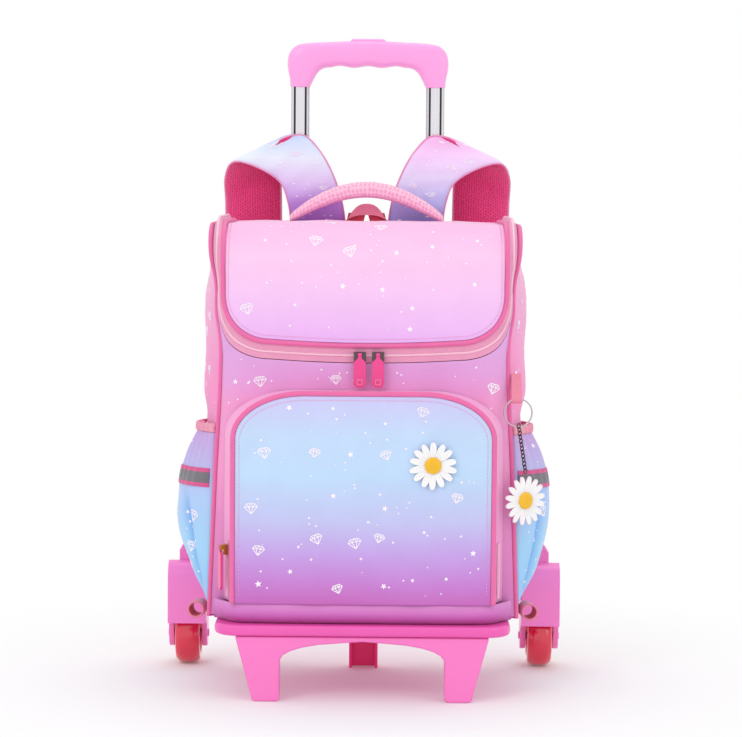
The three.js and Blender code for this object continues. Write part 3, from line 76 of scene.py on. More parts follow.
# The camera looks at its target from a distance, raised by its elevation and turned by its azimuth and roll
def makeCamera():
    data = bpy.data.cameras.new("camera")
    camera = bpy.data.objects.new("camera", data)
    bpy.context.scene.collection.objects.link(camera)
    data.sensor_width = view["sensor"]
    data.sensor_fit = "HORIZONTAL"
    data.lens = view["focalPixels"] * view["sensor"] / view["imageWidth"]
    data.clip_end = 20
    target = Vector((view["target"][0], view["target"][1] + shiftY, view["target"][2])) / 1000
    up, side = math.radians(view["elevation"]), math.radians(view["azimuth"])
    away = Vector((math.cos(up) * math.sin(side), -math.cos(up) * math.cos(side), math.sin(up)))
    turn = away.to_track_quat("Z", "Y").to_matrix().to_4x4()
    roll = Matrix.Rotation(math.radians(view["roll"]), 4, "Z")
    camera.matrix_world = Matrix.Translation(target + away * view["distance"] / 1000) @ turn @ roll
    bpy.context.scene.camera = camera


def hexColour(code):  # a colour as six hex digits, made linear
    values = np.array([int(code[i:i + 2], 16) / 255 for i in (0, 2, 4)])
    linear = np.where(values > 0.04045, ((values + 0.055) / 1.055) ** 2.4, values / 12.92)
    return (*[float(v) for v in linear], 1.0)


# A round lamp that hangs at a place and looks at its aim, both in metres
def areaLight(name, place, aim, size, power):
    data = bpy.data.lights.new(name, "AREA")
    data.shape = "DISK"
    data.size = size
    data.energy = power
    light = bpy.data.objects.new(name, data)
    bpy.context.scene.collection.objects.link(light)
    place, aim = Vector(place), Vector(aim)
    turn = (place - aim).to_track_quat("Z", "Y").to_matrix().to_4x4()
    light.matrix_world = Matrix.Translation(place) @ turn


# Shaders: a socket that takes part in Python sums, and a maker of all other nodes
class Wire:
    def __init__(self, nodes, socket):
        self.nodes = nodes
        self.socket = socket

    def maths(self, operation, *values):
        return self.nodes.add("ShaderNodeMath", {"operation": operation}, list(values))

    def __add__(self, other):
        return self.maths("ADD", self, other)

    def __radd__(self, other):
        return self.maths("ADD", other, self)

    def __sub__(self, other):
        return self.maths("SUBTRACT", self, other)

    def __rsub__(self, other):
        return self.maths("SUBTRACT", other, self)

    def __mul__(self, other):
        return self.maths("MULTIPLY", self, other)

    def __rmul__(self, other):
        return self.maths("MULTIPLY", other, self)

    def __truediv__(self, other):
        return self.maths("DIVIDE", self, other)

    def __pow__(self, other):
        return self.maths("POWER", self, other)

    def sine(self):
        return self.maths("SINE", self)

    def size(self):
        return self.maths("ABSOLUTE", self)

    def clipped(self):
        return self.maths("MINIMUM", self.maths("MAXIMUM", self, 0), 1)


class Nodes:
    def __init__(self, name):
        self.material = bpy.data.materials.new(name)
        self.material.use_nodes = True
        self.tree = self.material.node_tree
        self.tree.nodes.clear()
        self.output = self.tree.nodes.new("ShaderNodeOutputMaterial")

    def add(self, kind, settings=None, inputs=None, output=0):
        node = self.tree.nodes.new(kind)
        for key, value in (settings or {}).items():
            if key == "stops":
                ramp = node.color_ramp
                while len(ramp.elements) < len(value):
                    ramp.elements.new(0.5)
                for element, (at, colour) in zip(ramp.elements, value):
                    element.position = at
                    element.color = colour
            else:
                setattr(node, key, value)
        pairs = enumerate(inputs) if isinstance(inputs, list) else (inputs or {}).items()
        for key, value in pairs:
            socket = node.inputs[key]
            if isinstance(value, Wire):
                self.tree.links.new(value.socket, socket)
            else:
                socket.default_value = value
        return Wire(self, node.outputs[output])

    def place(self):  # object coordinates in millimetres, as three wires
        point = self.add("ShaderNodeTexCoord", output="Object")
        split = self.add("ShaderNodeSeparateXYZ", inputs=[point])
        outs = [Wire(self, split.socket.node.outputs[i]) * 1000 for i in range(3)]
        return point, outs

    def surface(self, shader):
        self.tree.links.new(shader.socket, self.output.inputs["Surface"])
        return self.material


# A noise from 0 to 1 at a scale given in waves to the metre
def noise(nodes, point, scale, detail=2.0, rough=0.5):
    inputs = {"Vector": point, "Scale": scale, "Detail": detail, "Roughness": rough}
    return nodes.add("ShaderNodeTexNoise", inputs=inputs)


# The one surface shader of every piece
def principled(nodes, values):
    return nodes.add("ShaderNodeBsdfPrincipled", inputs=values)


# A normal from a height, whose depth is given in metres
def bumped(nodes, height, strength, distance):
    inputs = {"Strength": strength, "Distance": distance, "Height": height}
    return nodes.add("ShaderNodeBump", inputs=inputs)


# Two colours mixed by a factor, or multiplied
def mixed(nodes, factor, a, b, blend="MIX"):
    settings = {"data_type": "RGBA", "blend_type": blend}
    node = nodes.add("ShaderNodeMix", settings, {"Factor": factor}, output=2)
    inputs = node.socket.node.inputs
    for socket, value in ((inputs[6], a), (inputs[7], b)):
        if isinstance(value, Wire):
            nodes.tree.links.new(value.socket, socket)
        else:
            socket.default_value = value
    return node


def tinted(nodes, colour, shade):  # the colour times a shade between 0 and 1
    flat = nodes.add("ShaderNodeCombineColor", inputs=[shade, shade, shade])
    return mixed(nodes, 1.0, colour, flat, "MULTIPLY")


# Woven cloth: a colour that runs through stops over the height, mottled a little, with a painted shadow in a
# fold's valley where a fold colour is given. The weave is the sine of x + y times the sine of z, both at the
# thread's pitch.
def clothMaterial(name, low, high, stops, thread=1.1, depth=0.12, roughness=0.62, fold=None):
    mottle = 0.05
    nodes = Nodes(name)
    point, (x, y, z) = nodes.place()
    share = ((z - low) / (high - low)).clipped()
    soft = noise(nodes, point, 9, 3)
    settings = {"stops": [(at, hexColour(code)) for at, code in stops]}
    ramp = nodes.add("ShaderNodeValToRGB", settings, [(share + (soft - 0.5) * 0.07).clipped()])
    pitch = 2 * math.pi / thread
    weave = ((x + y) * pitch).sine() * (z * pitch).sine()
    crease = noise(nodes, point, 34, 4, 0.6)
    colour = tinted(nodes, ramp, (1 - mottle) + weave * (mottle * 0.5) + (crease - 0.5) * mottle * 2)
    # painted shade: with a fold colour, the cloth is mixed towards it where the fold attribute is high, as
    # the fold's shadow
    if fold:
        valley = nodes.add("ShaderNodeAttribute", {"attribute_name": "fold"}, output=2)
        colour = mixed(nodes, (valley * 0.8).clipped(), colour, hexColour(fold))
    return nodes.surface(principled(nodes, {
        "Base Color": colour,
        "Roughness": roughness + (crease - 0.5) * 0.1,
        "Sheen Weight": 0.25,
        "Sheen Roughness": 0.4,
        "Normal": bumped(nodes, weave * 0.25 + crease * 0.8, depth, 0.0012),
    }))


# Webbing: ribs along the piece's own map, the sine of u at the rib's pitch, and threads twice as close
def webbingMaterial(name, code, rib, roughness):
    nodes = Nodes(name)
    uv = nodes.add("ShaderNodeTexCoord", output="UV")
    split = nodes.add("ShaderNodeSeparateXYZ", inputs=[uv]).socket.node
    u, v = Wire(nodes, split.outputs[0]), Wire(nodes, split.outputs[1])
    ribs = (u * (2 * math.pi / rib)).sine()
    threads = (v * (2 * math.pi / (rib * 0.5))).sine()
    cloth = ribs * 0.7 + ribs * threads * 0.3
    point = nodes.add("ShaderNodeTexCoord", output="Object")
    spots = noise(nodes, point, 60, 3)
    return nodes.surface(principled(nodes, {
        "Base Color": tinted(nodes, hexColour(code), 0.93 + cloth * 0.06 + (spots - 0.5) * 0.12),
        "Roughness": roughness,
        "Sheen Weight": 0.2,
        "Normal": bumped(nodes, cloth, 0.35, 0.0006),
    }))


# Spacer mesh: small holes darkened with painted shade, one in each cell of a slightly uneven grid on the
# piece's own map
def meshMaterial(name, code, holeShadeCode, cell):
    nodes = Nodes(name)
    uv = nodes.add("ShaderNodeTexCoord", output="UV")
    scaled = nodes.add("ShaderNodeMapping", inputs={"Vector": uv, "Scale": (1 / cell, 1 / cell, 1)})
    inputs = {"Vector": scaled, "Scale": 1.0, "Randomness": 0.25}
    cells = nodes.add("ShaderNodeTexVoronoi", {"voronoi_dimensions": "2D"}, inputs)
    hole = (1 - cells * 2.1).clipped()
    point = nodes.add("ShaderNodeTexCoord", output="Object")
    spots = noise(nodes, point, 50, 3)
    share = (hole * 0.85 + (spots - 0.5) * 0.2).clipped()
    return nodes.surface(principled(nodes, {
        # painted shade: the holes are mixed towards the darker hole colour
        "Base Color": mixed(nodes, share, hexColour(code), hexColour(holeShadeCode)),
        "Roughness": 0.75,
        "Sheen Weight": 0.3,
        "Normal": bumped(nodes, 1 - hole, 0.6, 0.0012),
    }))


# Moulded plastic: one colour with a fine orange-peel grain and a little unevenness in its gloss
def plasticMaterial(name, code, roughness, coat, grain=0.05, soft=0.0):
    nodes = Nodes(name)
    point = nodes.add("ShaderNodeTexCoord", output="Object")
    peel = noise(nodes, point, 420, 2)
    cloud = noise(nodes, point, 14, 3)
    values = {
        "Base Color": tinted(nodes, hexColour(code), 0.97 + (cloud - 0.5) * 0.08),
        "Roughness": roughness + (cloud - 0.5) * 0.14,
        "Coat Weight": coat,
        "Coat Roughness": 0.12,
        "Normal": bumped(nodes, peel, grain, 0.0005),
    }
    if soft:
        values["Subsurface Weight"] = soft
        values["Subsurface Radius"] = (0.004, 0.0015, 0.002)
        values["Subsurface Scale"] = 1.0
    return nodes.surface(principled(nodes, values))


def metalMaterial(name, code, roughness):  # metal with worn spots
    nodes = Nodes(name)
    point = nodes.add("ShaderNodeTexCoord", output="Object")
    stretched = nodes.add("ShaderNodeMapping", inputs={"Vector": point, "Scale": (900, 900, 14)})
    lines = noise(nodes, stretched, 1.0, 3)
    cloud = noise(nodes, point, 40, 3)
    return nodes.surface(principled(nodes, {
        "Base Color": tinted(nodes, hexColour(code), 0.95 + (cloud - 0.5) * 0.12),
        "Metallic": 1.0,
        "Roughness": roughness + (cloud - 0.5) * 0.15,
        "Normal": bumped(nodes, lines, 0.02, 0.0003),
    }))


tubeShape = {"x": 70.5, "groove": 5.7, "grooveHalf": 1.3}


# Drawn tube: bright metal with painted shade that darkens it towards its sides, and two grooves down its
# face, sunk only by a bump, whose dark colour is painted shade
def tubeMaterial(name, code, grooveShadeCode):
    nodes = Nodes(name)
    point, (x, y, z) = nodes.place()
    across = (x.size() - tubeShape["x"]).size()
    groove = (1 - ((across - tubeShape["groove"]).size() / tubeShape["grooveHalf"])).clipped()
    groove = (groove * 3).clipped()
    # painted shade: the colour darkens by up to 0.3 towards the tube's sides
    side = ((across - tubeShape["groove"] - 1) / 3).clipped()
    stretched = nodes.add("ShaderNodeMapping", inputs={"Vector": point, "Scale": (900, 900, 9)})
    lines = noise(nodes, stretched, 1.0, 3)
    metal = tinted(nodes, hexColour(code), 1 - side * 0.3 + (lines - 0.5) * 0.25)
    return nodes.surface(principled(nodes, {
        # painted shade: the grooves are mixed towards a near black
        "Base Color": mixed(nodes, groove, metal, hexColour(grooveShadeCode)),
        "Metallic": 1.0,
        "Roughness": 0.2 + (lines - 0.5) * 0.1,
        "Normal": bumped(nodes, lines - groove, 0.15, 0.0005),
    }))


# Cloths: the heights in millimetres where the first and the last colour lie, then the stops as share and hex
cloths = {
    "lid": (350, 468, [
        (0.0, "e9b0f4"), (0.16, "f0bdf6"), (0.45, "f7c8f4"), (0.75, "fcc9ee"), (1.0, "f9b9e4"),
    ]),
    "front": (80, 400, [
        (0.0, "cf76bb"), (0.3, "e88fc8"), (0.45, "f49bce"), (0.66, "f39fd2"), (0.74, "e6a2de"),
        (0.86, "dfa6e2"), (1.0, "f0b6ea"),
    ]),
    "side": (80, 460, [
        (0.0, "e583c4"), (0.25, "f68ac9"), (0.6, "f686c5"), (0.8, "f19fce"), (1.0, "f7b0d6"),
    ]),
    "pocket": (97, 304, [
        (0.0, "c765bb"), (0.1, "c97fd3"), (0.24, "c7a2e8"), (0.4, "c4c6f2"), (0.62, "bfdcfa"),
        (0.8, "c3daf8"), (1.0, "cfc8f6"),
    ]),
    "gusset": (97, 304, [(0.0, "e28bd0"), (0.5, "f7a0d2"), (1.0, "f7abdc")]),
    "band": (77, 98, [(0.0, "bb4aa6"), (0.45, "cf68bd"), (1.0, "df8fd2")]),
    "strapLeft": (466, 562, [
        (0.0, "a865cf"), (0.22, "c08fe6"), (0.45, "e2cdf9"), (0.7, "e8effe"), (0.88, "d3e3fd"),
        (1.0, "b7c3f2"),
    ]),
    "strapRight": (466, 562, [
        (0.0, "9b92e4"), (0.25, "bfc0f6"), (0.5, "e6dafc"), (0.75, "f6d3fb"), (0.92, "f6bdee"),
        (1.0, "e9a3dd"),
    ]),
}
sidePocketCloth = (92, 262, [
    (0.0, "90c8f8"), (0.3, "a2d6fb"), (0.6, "afcdf8"), (0.8, "bdb6ea"), (1.0, "c79fdc"),
])
webbings = {  # the colour, the rib's width in millimetres and the roughness
    "piping": ("f46eae", 1.2, 0.55), "binding": ("f49ac8", 1.4, 0.6), "tape": ("f4a4c8", 1.3, 0.6),
    # redWeb is the webbing darkened to a deep red as painted shade, for faces of loops that look away from
    # the light
    "webbing": ("f08aa6", 2.0, 0.65), "hem": ("f49cb6", 1.8, 0.65), "redWeb": ("d8405e", 2.0, 0.65),
    "reflective": ("6d6973", 0.9, 0.35), "bandEdge": ("e0458f", 1.0, 0.55), "thread": ("fbb4d6", 0.6, 0.6),
}
meshes = {  # the colour, the holes' colour and the cell's width
    # the holes' colour is painted shade: the mesh's own colour darkened where it sinks
    "mesh": ("ee3480", "981246", 3.4), "handleMesh": ("fbc6dd", "e88bb2", 4.2),
    "backMesh": ("e7659b", "a8305f", 3.6),
}
plastics = {  # the colour, the roughness, the coat, the grain and how far light goes in
    "teeth": ("fac6da", 0.35, 0.2), "plastic": ("fa7cc8", 0.34, 0.2, 0.04, 0.08),
    # plate is the moulded pink darkened as painted shade, for the base plate that lies in the bag's shadow
    "grip": ("fba4e2", 0.36, 0.2, 0.04, 0.1), "plate": ("ef5ab4", 0.34, 0.2, 0.04, 0.08),
    "housing": ("ff86d2", 0.3, 0.25, 0.04, 0.1), "deep": ("ff2a8c", 0.36, 0.2), "pull": ("ee3d90", 0.3, 0.35),
    # pullLight is the puller's pink made lighter, a painted highlight on its raised frame
    "pullLight": ("fb86bd", 0.3, 0.3), "wheel": ("e2123f", 0.1, 1.0, 0.01, 0.2),
    "white": ("fbf8fa", 0.38, 0.15, 0.02, 0.1), "yellow": ("f6bd12", 0.4, 0.15, 0.03, 0.1),
    "print": ("fdf4ff", 0.55, 0.0, 0.02),
}
metals = {"dark": ("6a5d5f", 0.3), "gold": ("c99a4c", 0.28), "nickel": ("c9c4c6", 0.2)}
makers = {clothMaterial: cloths, webbingMaterial: webbings, meshMaterial: meshes, plasticMaterial: plastics,
          metalMaterial: metals}
finish = {}


# Every table's rows go to its maker, and the pocket's cloth, with its painted fold shadow, and the tubes get
# theirs
def makeMaterials():
    for maker, table in makers.items():
        for name, values in table.items():
            finish[name] = maker(name, *values)
    # painted shade: 4f97e6 is the deep blue of the shadow in the side pocket's fold
    finish["sidePocket"] = clothMaterial("sidePocket", *sidePocketCloth, fold="4f97e6")
    # painted shade: 3c3b42 is the dark of the tube's grooves
    finish["silver"] = tubeMaterial("silver", "e6e3e8", "3c3b42")


# Gives a piece its materials and the body that it rides on, and hides the CAD node that it stands for
def keep(obj, material, node=None, body="bag"):
    for one in material if isinstance(material, list) else [material]:
        obj.data.materials.append(one)
    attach(obj, body)
    if node:
        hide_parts(node)
    return obj


# A mesh from points in drawing millimetres, with arrays of faces as rows of indexes and a map in millimetres
def meshObject(name, points, faces, uv, smooth=True):
    mesh = bpy.data.meshes.new(name)
    placed = (np.asarray(points, dtype=float).reshape(-1, 3) + np.array([0, shiftY, 0])) / 1000
    corners = np.concatenate([part.ravel() for part in faces]).astype(np.int32)
    sizes = np.concatenate([np.full(len(part), part.shape[1]) for part in faces])
    mesh.vertices.add(len(placed))
    mesh.vertices.foreach_set("co", placed.astype(np.float32).ravel())
    mesh.loops.add(len(corners))
    mesh.loops.foreach_set("vertex_index", corners)
    mesh.polygons.add(len(sizes))
    mesh.polygons.foreach_set("loop_start", (np.cumsum(sizes) - sizes).astype(np.int32))
    mesh.polygons.foreach_set("use_smooth", np.full(len(sizes), smooth))
    layer = mesh.uv_layers.new(name="map")
    layer.data.foreach_set("uv", np.asarray(uv, dtype=np.float32).reshape(-1, 2)[corners].ravel())
    mesh.update()
    mesh.validate()
    obj = bpy.data.objects.new(name, mesh)
    bpy.context.scene.collection.objects.link(obj)
    return obj


# Faces of a grid of rows by columns; either way may close on itself.
def gridFaces(rows, columns, closedRows=False, closedColumns=False, start=0):
    i = np.arange(rows if closedRows else rows - 1)
    j = np.arange(columns if closedColumns else columns - 1)
    i, j = np.meshgrid(i, j, indexing="ij")
    ni, nj = (i + 1) % rows, (j + 1) % columns
    quads = np.stack([i * columns + j, i * columns + nj, ni * columns + nj, ni * columns + j], -1)
    return quads.reshape(-1, 4) + start


def arcLength(points, axis):  # the length along one axis of a grid of points, from 0 at its start
    steps = np.linalg.norm(np.diff(points, axis=axis), axis=-1)
    zero = np.zeros_like(np.take(steps, [0], axis=axis))
    return np.concatenate([zero, np.cumsum(steps, axis=axis)], axis=axis)


def mirrored(half):  # points up to the middle line, then the same turned over on x
    half = np.array(half, dtype=float)
    turn = np.ones(half.shape[1])
    turn[0] = -1
    return np.concatenate([half, half[:-1][::-1] * turn])


def turnOut(obj, merge=0):  # turns a closed mesh's faces outward, after its doubles are merged
    work = bmesh.new()
    work.from_mesh(obj.data)
    if merge:
        bmesh.ops.remove_doubles(work, verts=work.verts, dist=merge)
    bmesh.ops.recalc_face_normals(work, faces=work.faces)
    work.to_mesh(obj.data)
    work.free()
    return obj


# The faces of a closed wall between two grids: the first, the second turned round, and a strip along the rim
def shellFaces(rows, columns):
    count = rows * columns
    rim = np.concatenate([
        np.arange(columns), np.arange(1, rows) * columns + columns - 1,
        (rows - 1) * columns + np.arange(columns - 2, -1, -1), np.arange(rows - 2, 0, -1) * columns,
    ])
    following = np.roll(rim, -1)
    edge = np.stack([rim, rim + count, following + count, following], -1)
    return np.concatenate([gridFaces(rows, columns), gridFaces(rows, columns, start=count)[:, ::-1], edge])


# A closed wall from two grids of points
def shell(name, top, under, uv):
    points = np.concatenate([top.reshape(-1, 3), under.reshape(-1, 3)])
    uv = uv.reshape(-1, 2)
    return turnOut(meshObject(name, points, [shellFaces(*top.shape[:2])], np.concatenate([uv, uv])))


# A tube from rings of points, with a fan of triangles over each end
def tubeMesh(name, rings, uv, ends):
    count, sides = rings.shape[:2]
    ring = np.arange(sides)
    following, last = (ring + 1) % sides, (count - 1) * sides
    first = np.full(sides, count * sides)
    caps = np.concatenate([
        np.stack([first, ring, following], -1), np.stack([first + 1, last + following, last + ring], -1),
    ])
    uv = uv.reshape(-1, 2)
    points = np.concatenate([rings.reshape(-1, 3), ends])
    faces = [gridFaces(count, sides, False, True), caps]
    return turnOut(meshObject(name, points, faces, np.concatenate([uv, uv[:1], uv[-1:]])))


def squircle(sides, power):  # cosines and sines round a ring, each raised to a power, which fills its corners
    angle = np.linspace(0, 2 * np.pi, sides, endpoint=False)
    return angle, *[np.sign(part) * np.abs(part) ** power for part in (np.cos(angle), np.sin(angle))]


# Cloth: a grid of points with a wall behind it, both from one function of height over the surface
def clothWall(name, surface, rows, columns, wall, material, node=None):
    v, u = np.meshgrid(np.linspace(0, 1, rows), np.linspace(0, 1, columns), indexing="ij")
    top = surface(v, u, 0.0)
    uv = np.stack([arcLength(top, 1), arcLength(top, 0)], -1)
    obj = shell(name, top, surface(v, u, -wall), uv)
    bevelEdges(obj, min(wall * 0.3, 0.6))
    return keep(obj, material, node)


# Rounds the edges sharper than an angle, by a width in millimetres
def bevelEdges(obj, width, segments=2, angle=50):
    bevel = obj.modifiers.new("edges", "BEVEL")
    bevel.width = width / 1000
    bevel.segments = segments
    bevel.limit_method = "ANGLE"
    bevel.angle_limit = math.radians(angle)
    return obj


# Frames along an open path that don't twist: each across is the last one, less its part along the path
def pathFrames(path):
    along = np.gradient(path, axis=0)
    along /= np.linalg.norm(along, axis=1, keepdims=True)
    across = np.zeros_like(path)
    first = np.cross(along[0], (0, 0, 1))
    if np.linalg.norm(first) < 0.1:
        first = np.cross(along[0], (0, 1, 0))
    across[0] = first / np.linalg.norm(first)
    for i in range(1, len(path)):
        step = across[i - 1] - along[i] * np.dot(across[i - 1], along[i])
        across[i] = step / np.linalg.norm(step)
    return across, np.cross(along, across)


# A round profile carried along a path: path + (across * cosine + up * sine) * radius
def carried(name, path, radius, sides, material, node=None, flat=1.0):
    across, up = pathFrames(path)
    angle = np.linspace(0, 2 * np.pi, sides, endpoint=False)
    size = np.broadcast_to(np.asarray(radius, dtype=float), (len(path),))[:, None, None]
    ring = across[:, None] * np.cos(angle)[None, :, None] + up[:, None] * np.sin(angle)[None, :, None] * flat
    uv = np.stack(np.broadcast_arrays(arcLength(path, 0)[:, None], angle[None] * np.mean(size)), -1)
    obj = tubeMesh(name, path[:, None] + ring * size, uv, np.array([path[0], path[-1]]))
    return keep(obj, material, node)


# Slow waves that stand for slack in the cloth: a sum of sines in two directions, about 1 high.
def slack(a, b, seed, scale=60.0):
    pick = np.random.default_rng(seed)
    total = 0
    for i in range(6):
        angle = pick.uniform(0, np.pi)
        wave = scale * pick.uniform(0.45, 1.6)
        phase = pick.uniform(0, 2 * np.pi)
        total = total + np.sin((a * np.cos(angle) + b * np.sin(angle)) * 2 * np.pi / wave + phase)
    return total / 3.4


# t * t * (3 - 2 * t), with t the value's share between low and high
def smoothStep(low, high, value):
    t = np.clip((value - low) / (high - low), 0, 1)
    return t * t * (3 - 2 * t)


# The bag's surface, as in the part's source, in millimetres
bag = {
    "floor": 77, "height": 391, "front": -80, "back": 79, "backPanel": 13, "sideBackHalf": 156,
    "sideBulge": 8, "frontHalf": 151, "lidRadius": 42, "edgeRadius": 26, "cornerRise": 5,
    "piping": 2.6, "fit": 0.3, "seamGap": 0.5,
    "flapTopHalf": 134, "flapLowHalf": 139, "flapCorner": 45, "flapHem": 352, "flapSag": 3.4,
    "tape": 4.8, "coil": 1.6,
    "pocketFront": -112, "pocketTop": 304, "pocketSeam": 97, "pocketHalf": 128, "pocketBaseHalf": 138,
    "edgeRise": 7, "edgeTuck": 5, "soften": 5,
    "pocketCornerWide": 70, "pocketCornerTall": 45, "pocketBelly": 5,
    "sidePocketLow": 92, "sidePocketTop": 254, "sidePocketBulge": 28, "sidePocketBack": 58,
}
frontTable = np.array([
    [0, 0.9, 1], [0.072, 0.9, 0.993], [0.379, 0.9, 0.96], [0.57, 1.0, 0.935], [0.655, 1.05, 0.93],
    [0.698, 1.12, 0.93], [0.739, 1.27, 0.935], [0.822, 1.5, 0.93], [0.895, 1.3, 0.9], [1, 0.73, 0.9],
])
bagTop = bag["floor"] + bag["height"]
lidBack = bag["back"] - bag["backPanel"] - bag["fit"]
topRun = lidBack - (bag["front"] + bag["lidRadius"])
bendRun = bag["lidRadius"] * math.pi / 2
lastRun = topRun + bendRun + (bagTop - bag["lidRadius"] - bag["floor"]) - bag["fit"]
zipInner = 2 * bag["piping"] + bag["fit"] + bag["seamGap"]
coilOffset = zipInner + bag["tape"] + bag["fit"] + bag["coil"]
zipOuterStart = coilOffset + bag["coil"] + bag["fit"]
zipOuter = zipOuterStart + bag["tape"]


# The run over the outline at a height on the front: top, bend and the fall from the bend
def runAt(z):
    return topRun + bendRun + (bagTop - bag["lidRadius"] - z)


cornerRun = runAt(bag["flapHem"]) - bag["flapSag"] - bag["flapCorner"]


def tableValue(table, column, share):  # a smooth curve through the rows of a table
    at, value = table[:, 0], table[:, column]
    slope = np.empty(len(at))
    slope[1:-1] = (value[2:] - value[:-2]) / (at[2:] - at[:-2])
    slope[0] = (value[1] - value[0]) / (at[1] - at[0])
    slope[-1] = (value[-1] - value[-2]) / (at[-1] - at[-2])
    i = np.clip(np.searchsorted(at, share, "left") - 1, 0, len(at) - 2)
    span = at[i + 1] - at[i]
    t = np.clip((share - at[i]) / span, 0, 1)
    bow = t * (1 - t) * span * ((1 - t) * slope[i] - t * slope[i + 1])
    return value[i] + (value[i + 1] - value[i]) * t * t * (3 - 2 * t) + bow


def nodeBox(node):  # a CAD node's corners in drawing millimetres
    return [np.array(corner) * 1000 - np.array([0, shiftY, 0]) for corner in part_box(node)]


# The side outline: straight over the top, a quarter round, straight down. Gives y, z and the outward normal.
def outline(run):
    angle = np.clip((run - topRun) / bag["lidRadius"], 0, np.pi / 2)
    ny, nz = -np.sin(angle), np.cos(angle)
    y = bag["front"] + bag["lidRadius"] * (1 + ny) + np.maximum(0, topRun - run)
    z = bagTop - bag["lidRadius"] * (1 - nz) - np.maximum(0, run - topRun - bendRun)
    return y, z, ny, nz


def edgeHalf(run, offset):  # the flap's half width, moved out by an offset
    straight = bag["flapTopHalf"] + (bag["flapLowHalf"] - bag["flapTopHalf"]) * run / cornerRun + offset
    radius = bag["flapCorner"] + offset
    fall = np.clip((run - cornerRun) / radius, 0, 1)
    curved = bag["flapLowHalf"] - bag["flapCorner"] + radius * np.sqrt(1 - fall * fall)
    return np.where(run <= cornerRun, straight, curved)


# Half width, flat half width and corner turn at a run: the soft maximum of the flap's edge and the body
def crossSection(run):
    share = (outline(run)[1] - bag["floor"]) / bag["height"]
    turn = tableValue(frontTable, 1, share)
    bend = bag["edgeRadius"] * turn
    low = bag["frontHalf"] * tableValue(frontTable, 2, share) + bend - bag["edgeRadius"] * np.sin(turn)
    edge = edgeHalf(run, zipOuter + bag["seamGap"])
    half = (edge + low + np.sqrt((edge - low) ** 2 + bag["soften"] ** 2)) / 2
    return half, half - bend, turn


# A point on the front and lid: flat to the edge, then a round of the edge radius.
def skin(across, run, lift=0.0):
    y, z, ny, nz = outline(run)
    half, flat, turn = crossSection(run)
    radius = bag["edgeRadius"]
    reach = np.abs(across)
    angle = np.maximum(0, (reach - flat) / radius)
    bent = smoothStep(0, 1, angle / turn) * np.maximum(0, nz)
    rise = bag["cornerRise"] * np.maximum(0, nz) * np.sin(np.pi * np.minimum(angle / turn, 1)) ** 2
    rise = rise + bag["edgeRise"] * bent
    x = np.minimum(reach, flat) + (radius + lift) * np.sin(angle) - bag["edgeTuck"] * bent
    out = rise + lift * np.cos(angle) - radius * (1 - np.cos(angle))
    return np.stack([np.sign(across) * x, y + ny * out, z + nz * out], -1)


# The run of the flap's low edge: a quarter round at each corner, and a sag of 1 - share squared between
def lowEdge(across, offset):
    half = bag["flapLowHalf"] - bag["flapCorner"]
    radius = bag["flapCorner"] + offset
    beyond = np.maximum(0, np.abs(across) - half)
    sag = bag["flapSag"] * (1 - np.minimum(np.abs(across) / half, 1) ** 2)
    return cornerRun + np.sqrt(np.maximum(0, radius ** 2 - beyond ** 2)) + sag


# The flap's edge as points of across and run, close together: down one side, round, along and up.
def edgePath(offset):
    half = bag["flapLowHalf"] - bag["flapCorner"]
    radius = bag["flapCorner"] + offset
    run = np.linspace(0, cornerRun, 90)
    side = np.stack([-edgeHalf(run, offset), run], -1)
    angle = np.linspace(0, np.pi / 2, 26)[1:-1]
    corner = np.stack([-half - radius * np.cos(angle), cornerRun + radius * np.sin(angle)], -1)
    across = np.linspace(-half, 0, 40)
    low = np.stack([across, lowEdge(across, offset)], -1)
    left = np.concatenate([side, corner, low])
    right = left[:-1][::-1] * np.array([-1, 1])
    return np.concatenate([left, right])


def spaced(path, step):  # the same path with points at even steps
    length = arcLength(path, 0)
    marks = np.linspace(0, length[-1], max(int(length[-1] / step), 4))
    return np.stack([np.interp(marks, length, path[:, k]) for k in range(path.shape[1])], -1)


# The lid
lidShape = {"wall": 3.2, "puff": 1.5, "slack": 0.7}


# The lid's height over its skin: a puff of 1 - side to 6, and slow waves that fade to the edge
def lidRelief(across, run):
    edge = np.maximum(edgeHalf(np.minimum(run, cornerRun), 0), 1)
    side = np.clip(np.abs(across) / edge, 0, 1)
    puff = lidShape["puff"] * (1 - side ** 6)
    waves = lidShape["slack"] * slack(across, run, 3, 90) * (1 - side ** 4)
    return puff + waves


# The lid is laid row by row down to its corners, then along a quarter round
def makeLid():
    half = bag["flapLowHalf"] - bag["flapCorner"]

    def surface(v, u, lift):
        side = np.sin((u - 0.5) * np.pi) * 0.4 + (u - 0.5) * 1.2
        straight = v < 0.8
        run = np.where(straight, v / 0.8 * cornerRun, 0)
        angle = np.clip((v - 0.8) / 0.2, 0, 1) * np.pi / 2
        round_ = half + bag["flapCorner"] * np.cos(angle)
        across = np.where(straight, side * edgeHalf(run, 0), side * round_)
        sag = (lowEdge(across, 0) - cornerRun - bag["flapCorner"]) * np.sin(angle) ** 4
        run = np.where(straight, run, cornerRun + bag["flapCorner"] * np.sin(angle) + np.maximum(0, sag))
        return skin(across, run, lift + lidRelief(across, run))

    lid = clothWall("lidFlap", surface, 120, 110, lidShape["wall"], finish["lid"], "lid_flap")
    return lid


# A flat tape on the skin, between two offsets from the flap's edge
def skinTape(name, inner, outer, node, high=-0.4, low=-1.5):
    a, b = edgePath(inner), edgePath(outer)
    share = np.linspace(0, 1, 5)[None, :, None]
    flat = a[:, None] * (1 - share) + b[:, None] * share
    rows, columns = flat.shape[:2]

    def surface(v, u, lift):
        i = np.rint(v * (rows - 1)).astype(int)
        j = np.rint(u * (columns - 1)).astype(int)
        return skin(flat[i, j, 0], flat[i, j, 1], high + lift)

    return clothWall(name, surface, rows, columns, high - low, finish["tape"], node)


